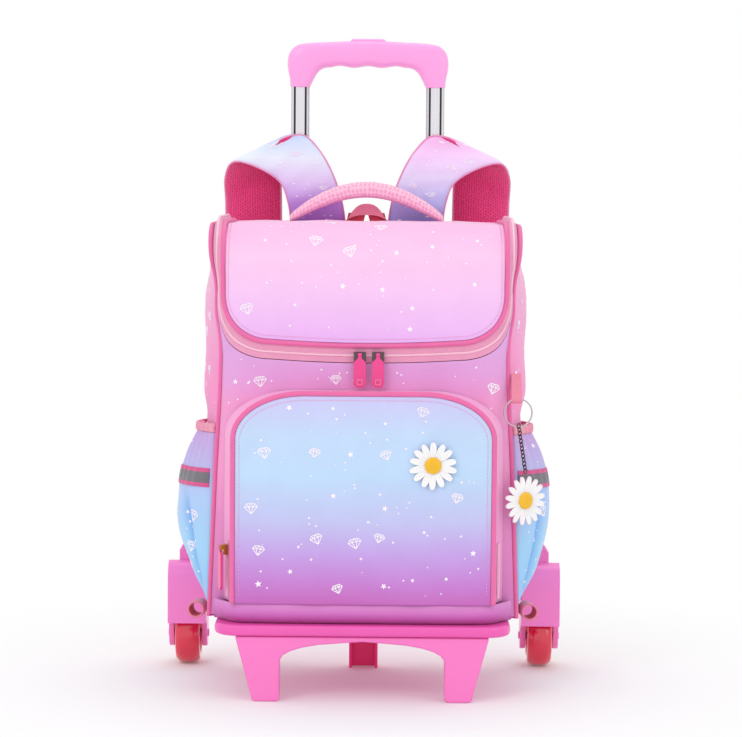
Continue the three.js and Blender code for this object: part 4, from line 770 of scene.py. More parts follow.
# The lid's piping, two tapes and a coil whose radius ripples with the cosine of its length
def makeLidZip():
    path = spaced(edgePath(bag["piping"] + bag["fit"]), 2.0)
    line = skin(path[:, 0], path[:, 1], 0.5)
    carried("flapPiping", line, bag["piping"], 14, finish["piping"], "flap_piping")
    skinTape("zipTapeInner", zipInner - 0.7, coilOffset - 1.2, "zip_tape_inner")
    skinTape("zipTapeOuter", coilOffset + 1.2, zipOuter + 0.35, "zip_tape_outer")
    path = spaced(edgePath(coilOffset), 0.55)
    line = skin(path[:, 0], path[:, 1], -0.6)
    count = len(path)
    radius = bag["coil"] * (0.84 + 0.16 * np.cos(np.arange(count) * 0.55 * 2 * np.pi / 2.4))
    coil = carried("zipCoil", line, radius, 10, finish["teeth"], "zip_coil")


# The front panel, the sides and their piping
frontShape = {"wall": 2, "slack": 0.9}


# The run of the front panel's top edge, which follows the zip: found by fourteen steps of the same sum
def panelTop(side):
    run = np.full_like(np.asarray(side, dtype=float), cornerRun + bag["flapCorner"] + zipOuter)
    for i in range(14):
        run = lowEdge(side * crossSection(run)[0], zipOuter + 2 * bag["seamGap"])
    return run


# Slow waves that fade to the panel's edges and to its top
def frontRelief(across, run):
    half = crossSection(run)[0]
    fade = 1 - np.clip(np.abs(across) / half, 0, 1) ** 6
    low = smoothStep(runAt(bag["flapHem"]) + 4, runAt(bag["flapHem"]) + 30, run)
    return frontShape["slack"] * slack(across, run, 11, 80) * fade * low


# The front panel from below the zip down to the floor, its columns closer at the sides
def makeFront():
    end = lastRun - bag["fit"] - frontShape["wall"]

    def surface(v, u, lift):
        side = np.sin((u - 0.5) * np.pi) * 0.45 + (u - 0.5) * 1.1
        top = panelTop(side)
        run = top + (end - top) * v
        across = side * crossSection(run)[0]
        return skin(across, run, lift + frontRelief(across, run))

    panel = clothWall("frontPanel", surface, 90, 120, frontShape["wall"], finish["front"], "front_panel")


# The body piping's centre and the side panel's first point: the skin's edge moved out by the piping
def seam(run):
    half, flat, turn = crossSection(run)
    y, z, ny, nz = outline(run)
    edge = skin(half, run)
    step = bag["piping"] + bag["seamGap"]
    fall = step * np.sin(turn)
    x = edge[..., 0] + step * np.cos(turn)
    centre = np.stack([x, edge[..., 1] - ny * fall, edge[..., 2] - nz * fall], -1)
    start = centre + np.stack([np.full_like(ny, bag["piping"] / 2), -ny * step, -nz * step], -1)
    return centre, start


sideShape = {"wall": 2, "slack": 0.8, "fuller": 5}
seamRuns = np.linspace(topRun, lastRun, 400)
seamStarts = seam(seamRuns)[1]


# The run whose side seam lies at a height, read from a table of the seam
def runAtHeight(z):
    return np.interp(-z, -seamStarts[:, 2], seamRuns)


# From the seam to the back, plus a belly of the sines of height and share
def sidePoint(side, run, share, lift):
    start = seam(run)[1]
    height = (start[..., 2] - bag["floor"]) / bag["height"]
    belly = bag["sideBulge"] * np.sin(np.pi * (0.1 + 0.8 * height)) * np.sin(np.pi * share)
    top = smoothStep(0.8, 0.985, height)
    back = bag["sideBackHalf"] + (seam(np.zeros(1))[1][0, 0] - bag["sideBackHalf"]) * top
    x = start[..., 0] + (back - start[..., 0]) * share + belly * (1 - top) + lift
    y = start[..., 1] + (lidBack - start[..., 1]) * share
    return np.stack([side * x, y, start[..., 2]], -1)


# Slow waves, and a fuller stretch above the pocket of the sine of share to 0.7
def sideRelief(run, share, side):
    fade = np.sin(np.pi * np.clip(share, 0, 1)) ** 0.5
    low = smoothStep(topRun, topRun + 40, run)
    free = smoothStep(runAt(450), runAt(400), run) * (1 - smoothStep(runAt(300), runAt(272), run))
    full = sideShape["fuller"] * np.sin(np.pi * np.clip(share, 0, 1)) ** 0.7 * free
    return sideShape["slack"] * slack(share * 130, run, 21 + side, 70) * fade * low + full


# Each side panel runs from the front seam to the back, with the piping along its front edge
def makeSides():
    for name, side in (("left", -1), ("right", 1)):
        def surface(v, u, lift, side=side):
            run = topRun + (lastRun - topRun) * v
            return sidePoint(side, run, u, lift + sideRelief(run, u, side))

        label, node = f"sidePanel_{name}", f"side_panel_{name}"
        clothWall(label, surface, 110, 40, sideShape["wall"], finish["side"], node)
        centre = seam(np.linspace(0, lastRun, 260))[0] * np.array([side, 1, 1])
        label, node = f"bodyPiping_{name}", f"body_piping_{name}"
        carried(label, centre, bag["piping"], 14, finish["piping"], node)


backShape = {
    "half": 155, "low": 77.2, "high": 467.5, "corner": 12, "round": 5, "groove": 3.4, "full": 5.8, "inset": 6,
}
backPiping = {"side": 155.6, "top": 466.6, "corner": 9, "radius": 2.3, "hemRise": 0.9, "hemDrop": 13}


# Back panel: round at its edge by the root of e * (2 - e), with e the distance from it over the round. A
# seam is a groove of exp(-(distance / width) squared). Piping and a hem close its joint with sides and lid.
def makeBack():
    half, low, high, corner = (backShape[key] for key in ("half", "low", "high", "corner"))
    v, u = np.meshgrid(np.linspace(0, 1, 150), np.linspace(-1, 1, 120), indexing="ij")
    z = low + (high - low) * v
    near = np.minimum(z - low, high - z)
    cut = corner - np.sqrt(np.maximum(0, corner ** 2 - (corner - near) ** 2))
    x = u * half * (1 - np.where(near < corner, cut / half, 0))
    edge = np.clip(np.minimum(half - np.abs(x), near) / backShape["round"], 0, 1)
    full = np.sqrt(edge * (2 - edge))
    across = np.abs(x)
    seams = np.exp(-((across - 52) / 4) ** 2) + np.exp(-((across - 96) / 4) ** 2)
    bars = np.exp(-(((z - 120) % 62 - 31) / 3.4) ** 2) * (across < 52)
    depth = backShape["groove"] * np.clip(seams + bars, 0, 1)
    yBack = bag["back"] - backShape["inset"] + full * (backShape["full"] - depth)
    yFront = np.minimum(bag["back"] - bag["backPanel"] + 0.2 + (1 - full) * 5, yBack - 0.4)
    obj = shell("backPanel", np.stack([x, yBack, z], -1), np.stack([x, yFront, z], -1), np.stack([x, z], -1))
    keep(obj, finish["backMesh"], "back_panel")
    side, top, bend, y = backPiping["side"], backPiping["top"], backPiping["corner"], lidBack
    arc = np.linspace(0, np.pi / 2, 14)[:, None]
    turn = bend * np.concatenate([np.cos(arc), 0 * arc, np.sin(arc)], 1)
    turn = turn + np.array([side - bend, y, top - bend])
    rise = np.array([[side, y, z] for z in np.linspace(low + 2, top - bend, 90)[:-1]])
    over = np.array([[x, y, top] for x in np.linspace(side - bend, 0, 60)[1:]])
    path = mirrored(np.concatenate([rise, turn, over]))
    carried("backPiping", path, backPiping["radius"], 12, finish["piping"])

    def hem(v, u, lift):
        reach = (u - 0.5) * 2 * crossSection(np.array(0.0))[0]
        point = skin(reach, np.zeros_like(reach))
        drop = backPiping["hemRise"] + backPiping["hemDrop"] * v
        return np.stack([point[..., 0], y - 1.2 + lift + 0 * drop, point[..., 2] - drop], -1)

    clothWall("lidBackHem", hem, 5, 140, 1.5, finish["side"])


pocketShape = {"wall": 2, "slack": 0.8, "side": 0.28}


# The pocket's outline from its left foot over the top to its right foot, share 0 to 1: straight up, a quarter
# ellipse, straight over, a quarter ellipse and straight down.
def pocketOutline(share, half, top, wide, tall):
    marks = [0, pocketShape["side"], 0.44, 0.56, 1 - pocketShape["side"], 1]
    low, flat, shoulder = bag["pocketSeam"], half - wide, top - tall
    t = [np.clip((share - marks[i]) / (marks[i + 1] - marks[i]), 0, 1) for i in range(5)]
    rise, fall = np.pi / 2 * t[1], np.pi / 2 * t[3]
    xs = [
        -half + 0 * t[0], -flat - wide * np.cos(rise), -flat + 2 * flat * t[2],
        flat + wide * np.sin(fall), half + 0 * t[4],
    ]
    zs = [
        low + (shoulder - low) * t[0], shoulder + tall * np.sin(rise), top + 0 * t[2],
        shoulder + tall * np.cos(fall), shoulder + (low - shoulder) * t[4],
    ]
    part = np.clip(np.searchsorted(marks, share, "right") - 1, 0, 4)
    return np.choose(part, xs), np.choose(part, zs)


# The outline drawn in by an inset, or wider by a flare where the pocket meets the bag
def pocketRim(share, inset, flare=0, round_=None):
    less = inset if round_ is None else round_
    half, top = bag["pocketHalf"] + flare - inset, bag["pocketTop"] + (1 if flare else 0) - inset
    return pocketOutline(share, half, top, bag["pocketCornerWide"] - less, bag["pocketCornerTall"] - less)


# The pocket's belly: 1 - side squared times the sine of its height to 0.7
def bulgeAt(side, height):
    rise = np.sin(np.pi * (0.15 + 0.85 * np.clip(height, 0, 1))) ** 0.7
    return bag["pocketBelly"] * (1 - side * side) * rise


# The pocket's wall: from the bag's skin at depth 0 straight to the pocket's face at depth 1
def gussetPoint(share, depth, inset):
    base = pocketRim(share, inset, bag["pocketBaseHalf"] - bag["pocketHalf"])
    face = pocketRim(share, inset)
    back = skin(base[0], runAt(base[1]), 2 * bag["seamGap"])
    y = bag["pocketFront"] + bag["piping"] + 2 * bag["fit"] + 1
    front = np.stack([face[0], np.full_like(face[0], y), face[1]], -1)
    return back + (front - back) * depth[..., None]


# The pocket's face: its plane moved out by the belly, slow waves and a lift
def pocketFace(x, z, lift):
    half = bag["pocketHalf"] - bag["piping"] - bag["seamGap"]
    top = bag["pocketTop"] - bag["piping"] - bag["seamGap"]
    height = (z - bag["pocketSeam"]) / (top - bag["pocketSeam"])
    belly = bulgeAt(np.clip(np.abs(x) / half, 0, 1), height)
    waves = pocketShape["slack"] * slack(x, z, 31, 85) * np.clip(belly / 2, 0, 1)
    return np.stack([x, bag["pocketFront"] - belly - waves - lift, z], -1)


# Below its corners the face is straight, and above them its width follows a quarter ellipse
def makePocket():
    inset = bag["piping"] + 0.1
    half, top = bag["pocketHalf"] - inset, bag["pocketTop"] - inset
    shoulder = bag["pocketTop"] - bag["pocketCornerTall"]

    def face(v, u, lift):
        angle = np.clip((v - 0.6) / 0.4, 0, 1) * np.pi / 2
        low = bag["pocketSeam"] + (shoulder - bag["pocketSeam"]) * v / 0.6
        z = np.where(v < 0.6, low, shoulder + (top - shoulder) * np.sin(angle))
        width = half - (bag["pocketCornerWide"] - inset) * (1 - np.cos(angle))
        return pocketFace((u - 0.5) * 2 * width, z, lift + 1)

    panel = clothWall("pocketFront", face, 100, 100, pocketShape["wall"], finish["pocket"], "pocket_front")

    def wall(v, u, lift):
        return gussetPoint(u, v, -lift)

    gusset = clothWall("pocketGusset", wall, 12, 240, pocketShape["wall"], finish["gusset"], "pocket_gusset")
    x, z = pocketRim(np.linspace(0, 1, 260), 0)
    line = np.stack([x, np.full_like(x, bag["pocketFront"]), z], -1)
    piping = carried("pocketPiping", line, bag["piping"], 14, finish["piping"], "pocket_piping")


# The bottom band
def centripetal(points, count):  # a smooth curve through points, evenly in its own parameter
    points = np.asarray(points, dtype=float)
    ends = [2 * points[:1] - points[1:2], points, 2 * points[-1:] - points[-2:-1]]
    p = np.concatenate(ends)
    share = np.linspace(0, len(points) - 1, count)
    i = np.clip(share.astype(int), 0, len(points) - 2)
    w = (share - i)[:, None]
    d = np.maximum(np.linalg.norm(np.diff(p, axis=0), axis=1) ** 0.5, 1e-4)
    p0, p1, p2, p3 = p[i], p[i + 1], p[i + 2], p[i + 3]
    d0, d1, d2 = d[i][:, None], d[i + 1][:, None], d[i + 2][:, None]
    t1 = ((p1 - p0) / d0 - (p2 - p0) / (d0 + d1) + (p2 - p1) / d1) * d1
    t2 = ((p2 - p1) / d1 - (p3 - p1) / (d1 + d2) + (p3 - p2) / d2) * d1
    c2 = -3 * p1 + 3 * p2 - 2 * t1 - t2
    c3 = 2 * p1 - 2 * p2 + t1 + t2
    return p1 + t1 * w + c2 * w ** 2 + c3 * w ** 3


# The band's plan is a smooth curve. It goes out by the sine of its height, and in at its foot.
def makeBand():
    end = seam(np.array(runAt(bag["floor"] + 10)))[0]
    half, base, front = bag["pocketHalf"], bag["pocketBaseHalf"], bag["pocketFront"]
    line = centripetal(mirrored([
        (-end[0] + 2 * bag["piping"], end[1] - 4 * bag["piping"]), (-base - 3, (end[1] + front) / 2),
        (-half + 2, front + 4), (-half * 0.8, front), (-half * 0.4, front - 1), (0, front - 1),
    ]), 240)
    along = np.gradient(line, axis=0)
    along /= np.linalg.norm(along, axis=1, keepdims=True)
    outward = np.stack([along[:, 1], -along[:, 0]], -1)
    low, high = bag["floor"] + bag["fit"], bag["pocketSeam"] - bag["fit"]

    def surface(v, u, lift):
        i = np.rint(u * 239).astype(int)
        edge = np.sin(np.pi * u) ** 0.3
        out = 3 * np.sin(np.pi * v) * edge - 6 * (1 - v) ** 3 * edge + lift
        out = out + 0.5 * slack(u * 320, v * 20, 51, 40) * np.sin(np.pi * v) * edge
        at = line[i] + outward[i] * out[..., None]
        return np.concatenate([at, (low + (high - low) * v)[..., None]], -1)

    clothWall("bottomBand", surface, 24, 240, 2, finish["band"], "bottom_band")


# painted shade: the number stored is the weight of the fold's painted shadow
def paintFoldShade(obj, values):  # stores a number per vertex, the same on the cloth's two faces
    layer = obj.data.attributes.new("fold", "FLOAT", "POINT")
    layer.data.foreach_set("value", np.tile(values, 2).astype(np.float32))


# The side pockets, with the bulge as a share of its greatest depth at shares of the height
sidePocketShape = {"pleats": 9, "pleatDepth": 1.9, "slack": 2.2, "tilt": 6, "fold": 5}
bulgeTable = np.array([[0, 0.02], [0.18, 0.55], [0.45, 1], [0.68, 0.96], [0.87, 0.6], [1, 0.24]])


# A point on the side pocket: the side panel moved out by the table of the bulge, pleats, waves and fold
def sidePocketPoint(side, z, u, lift):
    run = runAtHeight(z)
    start = seam(run)[1]
    front = start[..., 1] + 1.5
    y = front + (bag["sidePocketBack"] - front) * u
    share = (y - start[..., 1]) / (lidBack - start[..., 1])
    height = np.minimum((z - bag["sidePocketLow"]) / (bag["sidePocketTop"] - bag["sidePocketLow"]), 1)
    out = tableValue(bulgeTable, 1, height) * np.sin(np.pi * u) ** 0.75
    hold = np.sin(np.pi * np.clip(u, 0, 1)) ** 0.8
    gather = smoothStep(0.55, 1.0, height)
    pleats = np.sin(2 * np.pi * sidePocketShape["pleats"] * u)
    extra = sidePocketShape["pleatDepth"] * pleats * gather * hold
    fade = smoothStep(0, 0.2, height) * (1 - smoothStep(0.8, 1, height))
    extra = extra + sidePocketShape["slack"] * slack(y, z * 0.6, 61 + side, 75) * hold * fade
    extra = extra - sidePocketShape["fold"] * pocketFold(u, height)
    out = bag["fit"] + bag["sidePocketBulge"] * np.maximum(0, out) + lift + extra
    point = sidePoint(side, run, share, out)
    point[..., 2] = z + sidePocketShape["tilt"] * (1 - u) * smoothStep(0.1, 0.9, height)
    return point


# The long fold that runs from the pocket's back down to its front corner, 1 in its valley. It sinks the cloth
# there, and it weights the painted shadow of the fold.
def pocketFold(u, height):
    valley = 0.1 + 0.26 * np.clip(height, 0, 1) ** 0.8
    width = 0.03 + 0.05 * np.clip(height, 0, 1)
    near = np.exp(-((u - valley) / width) ** 2)
    return near * smoothStep(0.03, 0.15, height) * (1 - smoothStep(0.45, 0.72, height))


# Each side pocket is a pouch with a frilled hem, and a reflective strip between two edges
def makeSidePockets():
    low, top = bag["sidePocketLow"], bag["sidePocketTop"]
    for name, side in (("left", -1), ("right", 1)):
        def pouch(v, u, lift, side=side):
            return sidePocketPoint(side, low + (top - low) * v, u, 2 + lift)

        label, node = f"sidePocket_{name}", f"side_pocket_{name}"
        pocket = clothWall(label, pouch, 90, 90, 1.8, finish["sidePocket"], node)
        v, u = np.meshgrid(np.linspace(0, 1, 90), np.linspace(0, 1, 90), indexing="ij")
        paintFoldShade(pocket, pocketFold(u + 0.015, v).ravel())

        def hem(v, u, lift, side=side):
            round_ = 0.6 * np.sin(np.pi * v)
            frill = 0.9 * np.sin(u * 2 * np.pi * 17 + 3 * v) * np.sin(np.pi * np.clip(u, 0, 1)) ** 0.5
            rippled = 0.7 * np.sin(u * 2 * np.pi * 17) * v
            return sidePocketPoint(side, top + bag["fit"] + 9 * v + rippled, u, 2.6 + lift + round_ + frill)

        edge = clothWall(f"sidePocketHem_{name}", hem, 12, 90, 2.4, finish["hem"], f"side_pocket_hem_{name}")

        def strip(z0, z1, out):
            def surface(v, u, lift, side=side):
                return sidePocketPoint(side, z0 + (z1 - z0) * v, 0.005 + 0.965 * u, 2 + out + lift)
            return surface

        label, node = f"reflectiveBand_{name}", f"side_pocket_band_{name}"
        band = clothWall(label, strip(204, 215.4, 0.9), 10, 90, 0.5, finish["reflective"], node)
        for k, (z0, z1) in enumerate(((200.6, 204.6), (214.8, 218.8))):
            piece = clothWall(f"bandEdge_{name}_{k}", strip(z0, z1, 1.0), 6, 90, 0.6, finish["bandEdge"])


# The shoulder straps. A row is x, y and z of the inner edge, the same of the outer edge, and the thickness
strapRows = np.array([
    [0.14, 0, -0.07, 0.527, 0, -0.07, 1], [0.15, 0, 0.02, 0.53, 0, 0, 1], [0.175, 0, 0.25, 0.55, 0, 0.22, 1],
    [0.23, 0, 0.52, 0.6, 0.03, 0.43, 1], [0.32, 0, 0.79, 0.74, 0.1, 0.59, 0.95],
    [0.44, 0, 0.98, 0.93, 0.34, 0.67, 0.9], [0.6, 0.04, 0.93, 1.0, 0.78, 0.5, 0.9],
    [0.615, 0.56, 0.72, 1.0, 1.0, 0.2, 0.95], [0.605, 0.75, 0.33, 0.995, 0.95, -0.06, 1],
    [0.605, 0.76, -0.17, 0.99, 0.86, -0.26, 1], [0.62, 0.52, -0.48, 0.98, 0.62, -0.52, 1],
    [0.7, 0.22, -0.74, 0.9, 0.26, -0.74, 0.6], [0.735, -0.05, -1, 0.88, -0.05, -1, 0.3],
])
strapShape = {"reach": 150, "depth": 54, "rise": 91, "drop": 288, "pad": 4.5, "binding": 0.8}


# A strap's edge from three columns of its table: shares of the reach, the depth and the rise or drop
def strapEdge(side, first, count):
    x, y, z = strapRows[:, first], strapRows[:, first + 1], strapRows[:, first + 2]
    height = np.where(z >= 0, strapShape["rise"] * z, strapShape["drop"] * z)
    points = np.stack([
        side * x * strapShape["reach"],
        bag["back"] + bag["fit"] + strapShape["pad"] * 1.1 + y * strapShape["depth"],
        bagTop + height,
    ], -1)
    return centripetal(points, count)


# The strap's centre, half width, normal and thickness, from its two edges
def strapFrame(side, count):
    inner, outer = strapEdge(side, 0, count), strapEdge(side, 3, count)
    along = np.gradient(inner, axis=0) + np.gradient(outer, axis=0)
    along /= np.linalg.norm(along, axis=1, keepdims=True)
    across = (outer - inner) / 2
    normal = np.cross(across, along)
    normal /= np.linalg.norm(normal, axis=1, keepdims=True)
    if normal[20, 1] > 0:
        normal = -normal  # the printed face looks to the front where the strap starts
    rows = np.linspace(0, 1, len(strapRows))
    pad = strapShape["pad"] * np.interp(np.linspace(0, 1, count), rows, strapRows[:, 6])
    return (inner + outer) / 2, across, normal, pad


# A strap's face: centre + across * u + normal * (pad * a flat round), u from -1 to 1. Face -1 is the
# under side.
def strapPoint(form, i, u, lift, face=1):
    centre, across, normal, pad = form
    crown = (1 - np.abs(u) ** 5) ** 0.6 * 0.92 + 0.08
    out = face * normal[i] * (pad[i] * crown + lift)[..., None]
    return centre[i] + across[i] * u[..., None] * 0.985 + out


# Each strap is a pad, printed on its face and of mesh beneath, with a bound edge on each side
def makeStraps():
    count, sides = 260, 28
    one = (count - 1) * (sides - 1)
    for name, side in (("left", -1), ("right", 1)):
        form = strapFrame(side, count)
        i, u = np.meshgrid(np.arange(count), np.linspace(-1, 1, sides), indexing="ij")
        top = strapPoint(form, i, u, 0.5 * slack(i * 2.0, u * 30, 71 + side, 60))
        uv = np.stack([arcLength(top, 1), arcLength(top, 0)], -1)
        obj = shell(f"shoulderStrap_{name}", top, strapPoint(form, i, u, 0, -1), uv)
        cloth = finish["strapLeft" if side < 0 else "strapRight"]
        keep(obj, [cloth, finish["mesh"]], f"shoulder_strap_{name}")
        index = np.zeros(len(obj.data.polygons), dtype=np.int32)
        index[one:2 * one] = 1
        obj.data.polygons.foreach_set("material_index", index)
        for k, sign in enumerate((-1, 1)):
            line = (form[0] + form[1] * sign * 0.99)[1:-1]
            label = f"strapBinding_{name}_{k}"
            carried(label, line, strapShape["binding"], 10, finish["binding"], flat=1.5)


handleShape = {"half": 79, "y": 60, "rise": 30.5, "wide": 9.6, "thick": 7.8, "thin": 3, "square": 0.75}
hangShape = {"half": 24, "y": 74.5, "rise": 16, "wall": 1.6}


# The carry handle is an arch, its height a sine to the power 0.9, and its section a squircle. The hang loop
# is a fold of webbing whose height is 1 - (share to 2.6), with a leg down each side in a deep red that is
# painted shade.
def makeHandles():
    count = 150
    share = np.linspace(0, 1, count)
    bow = np.sin(np.pi * share)
    thick = handleShape["thin"] + (handleShape["thick"] - handleShape["thin"]) * bow ** 0.5
    x = -handleShape["half"] + 2 * handleShape["half"] * share
    z = bagTop + bag["fit"] + handleShape["thin"] + handleShape["rise"] * bow ** 0.9
    centre = np.stack([x, np.full_like(x, handleShape["y"]), z], -1)
    steep = handleShape["rise"] * 0.9 * np.pi * np.cos(np.pi * share)
    slope = np.arctan2(steep, 2 * handleShape["half"]) * bow
    up = np.stack([-np.sin(slope), np.zeros(count), np.cos(slope)], -1)
    angle, cosine, sine = squircle(36, handleShape["square"])
    ripple = 1 + 0.012 * np.sin(share * 60)
    points = (
        centre[:, None] + np.array([0, 1, 0]) * cosine[None, :, None] * handleShape["wide"] * 0.98
        + up[:, None] * (sine[None] * (thick * ripple)[:, None])[..., None]
    )
    uv = np.stack(np.broadcast_arrays(arcLength(centre, 0)[:, None], angle[None] * 8), -1)
    obj = tubeMesh("carryHandle", points, uv, centre[[0, -1]])
    keep(obj, finish["handleMesh"], "carry_handle")
    carried("handleSeam", centre - up * thick[:, None], 0.8, 8, finish["binding"])

    def fold(v, u, lift):
        share = (v - 0.5) * 2
        bow = 1 - np.abs(share) ** 2.6
        low = bagTop - 0.5 + (hangShape["rise"] - 8.5) * bow
        high = bagTop + 1.5 + hangShape["rise"] * bow + 1.2 * np.sin(np.pi * v)
        x = hangShape["half"] * share * (1 - 0.16 * u)
        y = hangShape["y"] + 0.8 - 1.6 * (1 - u) * bow - lift
        return np.stack([x, y, low + (high - low) * u], -1)

    obj = clothWall("hangLoop", fold, 60, 10, hangShape["wall"], finish["webbing"], "hang_loop")
    for k, (x0, x1) in enumerate(((-21.5, -3.5), (3.5, 21))):
        def leg(v, u, lift, x0=x0, x1=x1, k=k):
            x = x0 + (x1 - x0) * u + (-v * 2.5 if k else v * 2.5)
            z = bagTop - 0.5 + 10 * v - 1.5 * (u - 0.5) ** 2
            return np.stack([x, hangShape["y"] + 4.6 - lift + 0 * v, z], -1)

        # painted shade: the legs behind the fold get the deep red webbing
        clothWall(f"hangLoopLeg_{k}", leg, 8, 12, 1.2, finish["redWeb"])


# A corner loop is a ring of webbing whose radius swells by 0.16 of a cosine, and which leans outward. Its
# inner face gets a deep red copy of the webbing, as painted shade.
def makeCornerLoops():
    wall, rows, columns = 1.8, 48, 8
    count = rows * columns
    for name, side in (("left", -1), ("right", 1)):
        low, high = nodeBox(f"corner_loop_{name}")
        centre, radius = (low + high) / 2, (high[2] - low[2]) / 2

        def ring(v, u, lift, centre=centre, radius=radius, low=low, high=high, side=side):
            angle = v * 2 * np.pi
            out = (radius + lift) * (1 + 0.16 * np.cos(angle + side * 0.8 + (0 if side > 0 else np.pi)))
            y = low[1] + (high[1] - low[1]) * (u * 1.25 - 0.1)
            lean = side * 3.2 * (0.5 - u)
            return np.stack([centre[0] + lean + out * np.cos(angle), y, centre[2] + out * np.sin(angle)], -1)

        v, u = np.meshgrid(np.linspace(0, 1, rows, endpoint=False), np.linspace(0, 1, columns), indexing="ij")
        points = np.concatenate([ring(v, u, 0.0).reshape(-1, 3), ring(v, u, -wall).reshape(-1, 3)])
        top = gridFaces(rows, columns, True, False)
        under = gridFaces(rows, columns, True, False, count)[:, ::-1]
        i = np.arange(rows) * columns
        k = np.roll(i, -1)
        rims = [np.stack([i + c, k + c, k + c + count, i + c + count], -1) for c in (0, columns - 1)]
        uv = np.stack([v * 50, u * 18], -1).reshape(-1, 2)
        faces = [np.concatenate([top, under, *rims])]
        obj = turnOut(meshObject(f"cornerLoop_{name}", points, faces, np.concatenate([uv, uv])))
        # painted shade: the loop's inner face gets the deep red webbing
        keep(obj, [finish["webbing"], finish["redWeb"]], f"corner_loop_{name}")
        index = np.zeros(len(obj.data.polygons), dtype=np.int32)
        index[len(top):2 * len(top)] = 1
        obj.data.polygons.foreach_set("material_index", index)


printFilm = 0.15  # the print's thickness in millimetres


# Print: white stars, dots and gem outlines that lie on the cloth
def starOutline(radius, inner=0.45, points=5):
    angle = np.pi / 2 + np.arange(points * 2) * np.pi / points
    reach = np.where(np.arange(points * 2) % 2 == 0, radius, radius * inner)
    return np.stack([reach * np.cos(angle), reach * np.sin(angle)], -1)


# Flat figures as triangles: a star is a fan, a gem is a set of thin strokes.
def starFigure(radius):
    rim = starOutline(radius)
    points = np.concatenate([[[0, 0]], rim])
    count = len(rim)
    faces = [(0, 1 + i, 1 + (i + 1) % count) for i in range(count)]
    return points, faces


# A fan of eight triangles
def dotFigure(radius):
    angle = np.arange(8) * np.pi / 4
    points = np.concatenate([[[0, 0]], np.stack([np.cos(angle), np.sin(angle)], -1) * radius])
    return points, [(0, 1 + i, 1 + (i + 1) % 8) for i in range(8)]


# A gem's twelve strokes, each a strip of pen width cut in four
def gemFigure(size, pen=0.42):
    nodes = size * np.array([
        [-1, 0.25], [-0.6, 0.75], [0.6, 0.75], [1, 0.25], [0, -0.85], [-0.38, 0.25], [0.38, 0.25], [0, 0.75],
    ])
    strokes = [(0, 1), (1, 2), (2, 3), (3, 4), (4, 0), (0, 3), (5, 4), (6, 4), (1, 5), (5, 7), (7, 6), (6, 2)]
    points, faces = [], []
    for a, b in strokes:
        start, end = nodes[a], nodes[b]
        along = (end - start) / np.linalg.norm(end - start)
        side = np.array([-along[1], along[0]]) * pen
        base = len(points)
        steps = 4
        for k in range(steps + 1):
            middle = start + (end - start) * k / steps
            points += [middle - side, middle + side]
        for k in range(steps):
            q = base + 2 * k
            faces += [(q, q + 2, q + 3), (q, q + 3, q + 1)]
    return np.array(points), faces


marks = {"gem": (5.2, 6.8), "star": (2.2, 3.9), "spark": (1.2, 2.0), "dot": (0.5, 1.1)}  # sizes


# Lays figures over a surface: cells of a grid with a shift in each, so they don't line up.
def printOn(name, surface, inside, low, high, cell, seed, gemShare=0.42, down=False):
    pick = np.random.default_rng(seed)
    points, faces = [], []
    count = 0
    columns = int((high[0] - low[0]) / cell) + 1
    rows = int((high[1] - low[1]) / cell) + 1

    def put(figure, at, turn):
        nonlocal count
        shape, triangles = figure
        c, s = math.cos(turn), math.sin(turn)
        upright = np.array([1, -1]) if down else np.array([1, 1])
        placed = shape @ np.array([[c, s], [-s, c]]) * upright + at
        if not inside(placed).all():
            return
        points.append(placed)
        faces.append(np.array(triangles) + count)
        count += len(placed)

    for r in range(rows):
        for c in range(columns):
            shift = pick.uniform(0.2, 0.8, 2)
            x = low[0] + (c + shift[0] + (r % 2) * 0.4 - 0.2) * cell
            at = np.array([x, low[1] + (r + shift[1]) * cell])
            kind = pick.uniform()
            if kind < gemShare:
                put(gemFigure(pick.uniform(*marks["gem"])), at, pick.uniform(-0.5, 0.5))
            elif kind < 0.86:
                put(starFigure(pick.uniform(*marks["star"])), at, pick.uniform(-0.6, 0.6))
            for k in range(3):
                spot = at + pick.uniform(-0.6, 0.6, 2) * cell
                if pick.uniform() < 0.55:
                    put(dotFigure(pick.uniform(*marks["dot"])), spot, 0)
                else:
                    put(starFigure(pick.uniform(*marks["spark"])), spot, pick.uniform(0, 1))
    flat = np.concatenate(points)
    obj = meshObject(name, surface(flat[:, 0], flat[:, 1]), [np.concatenate(faces)], flat, smooth=False)
    film = obj.modifiers.new("film", "SOLIDIFY")
    film.thickness = printFilm / 1000
    film.offset = 0
    return keep(obj, finish["print"])


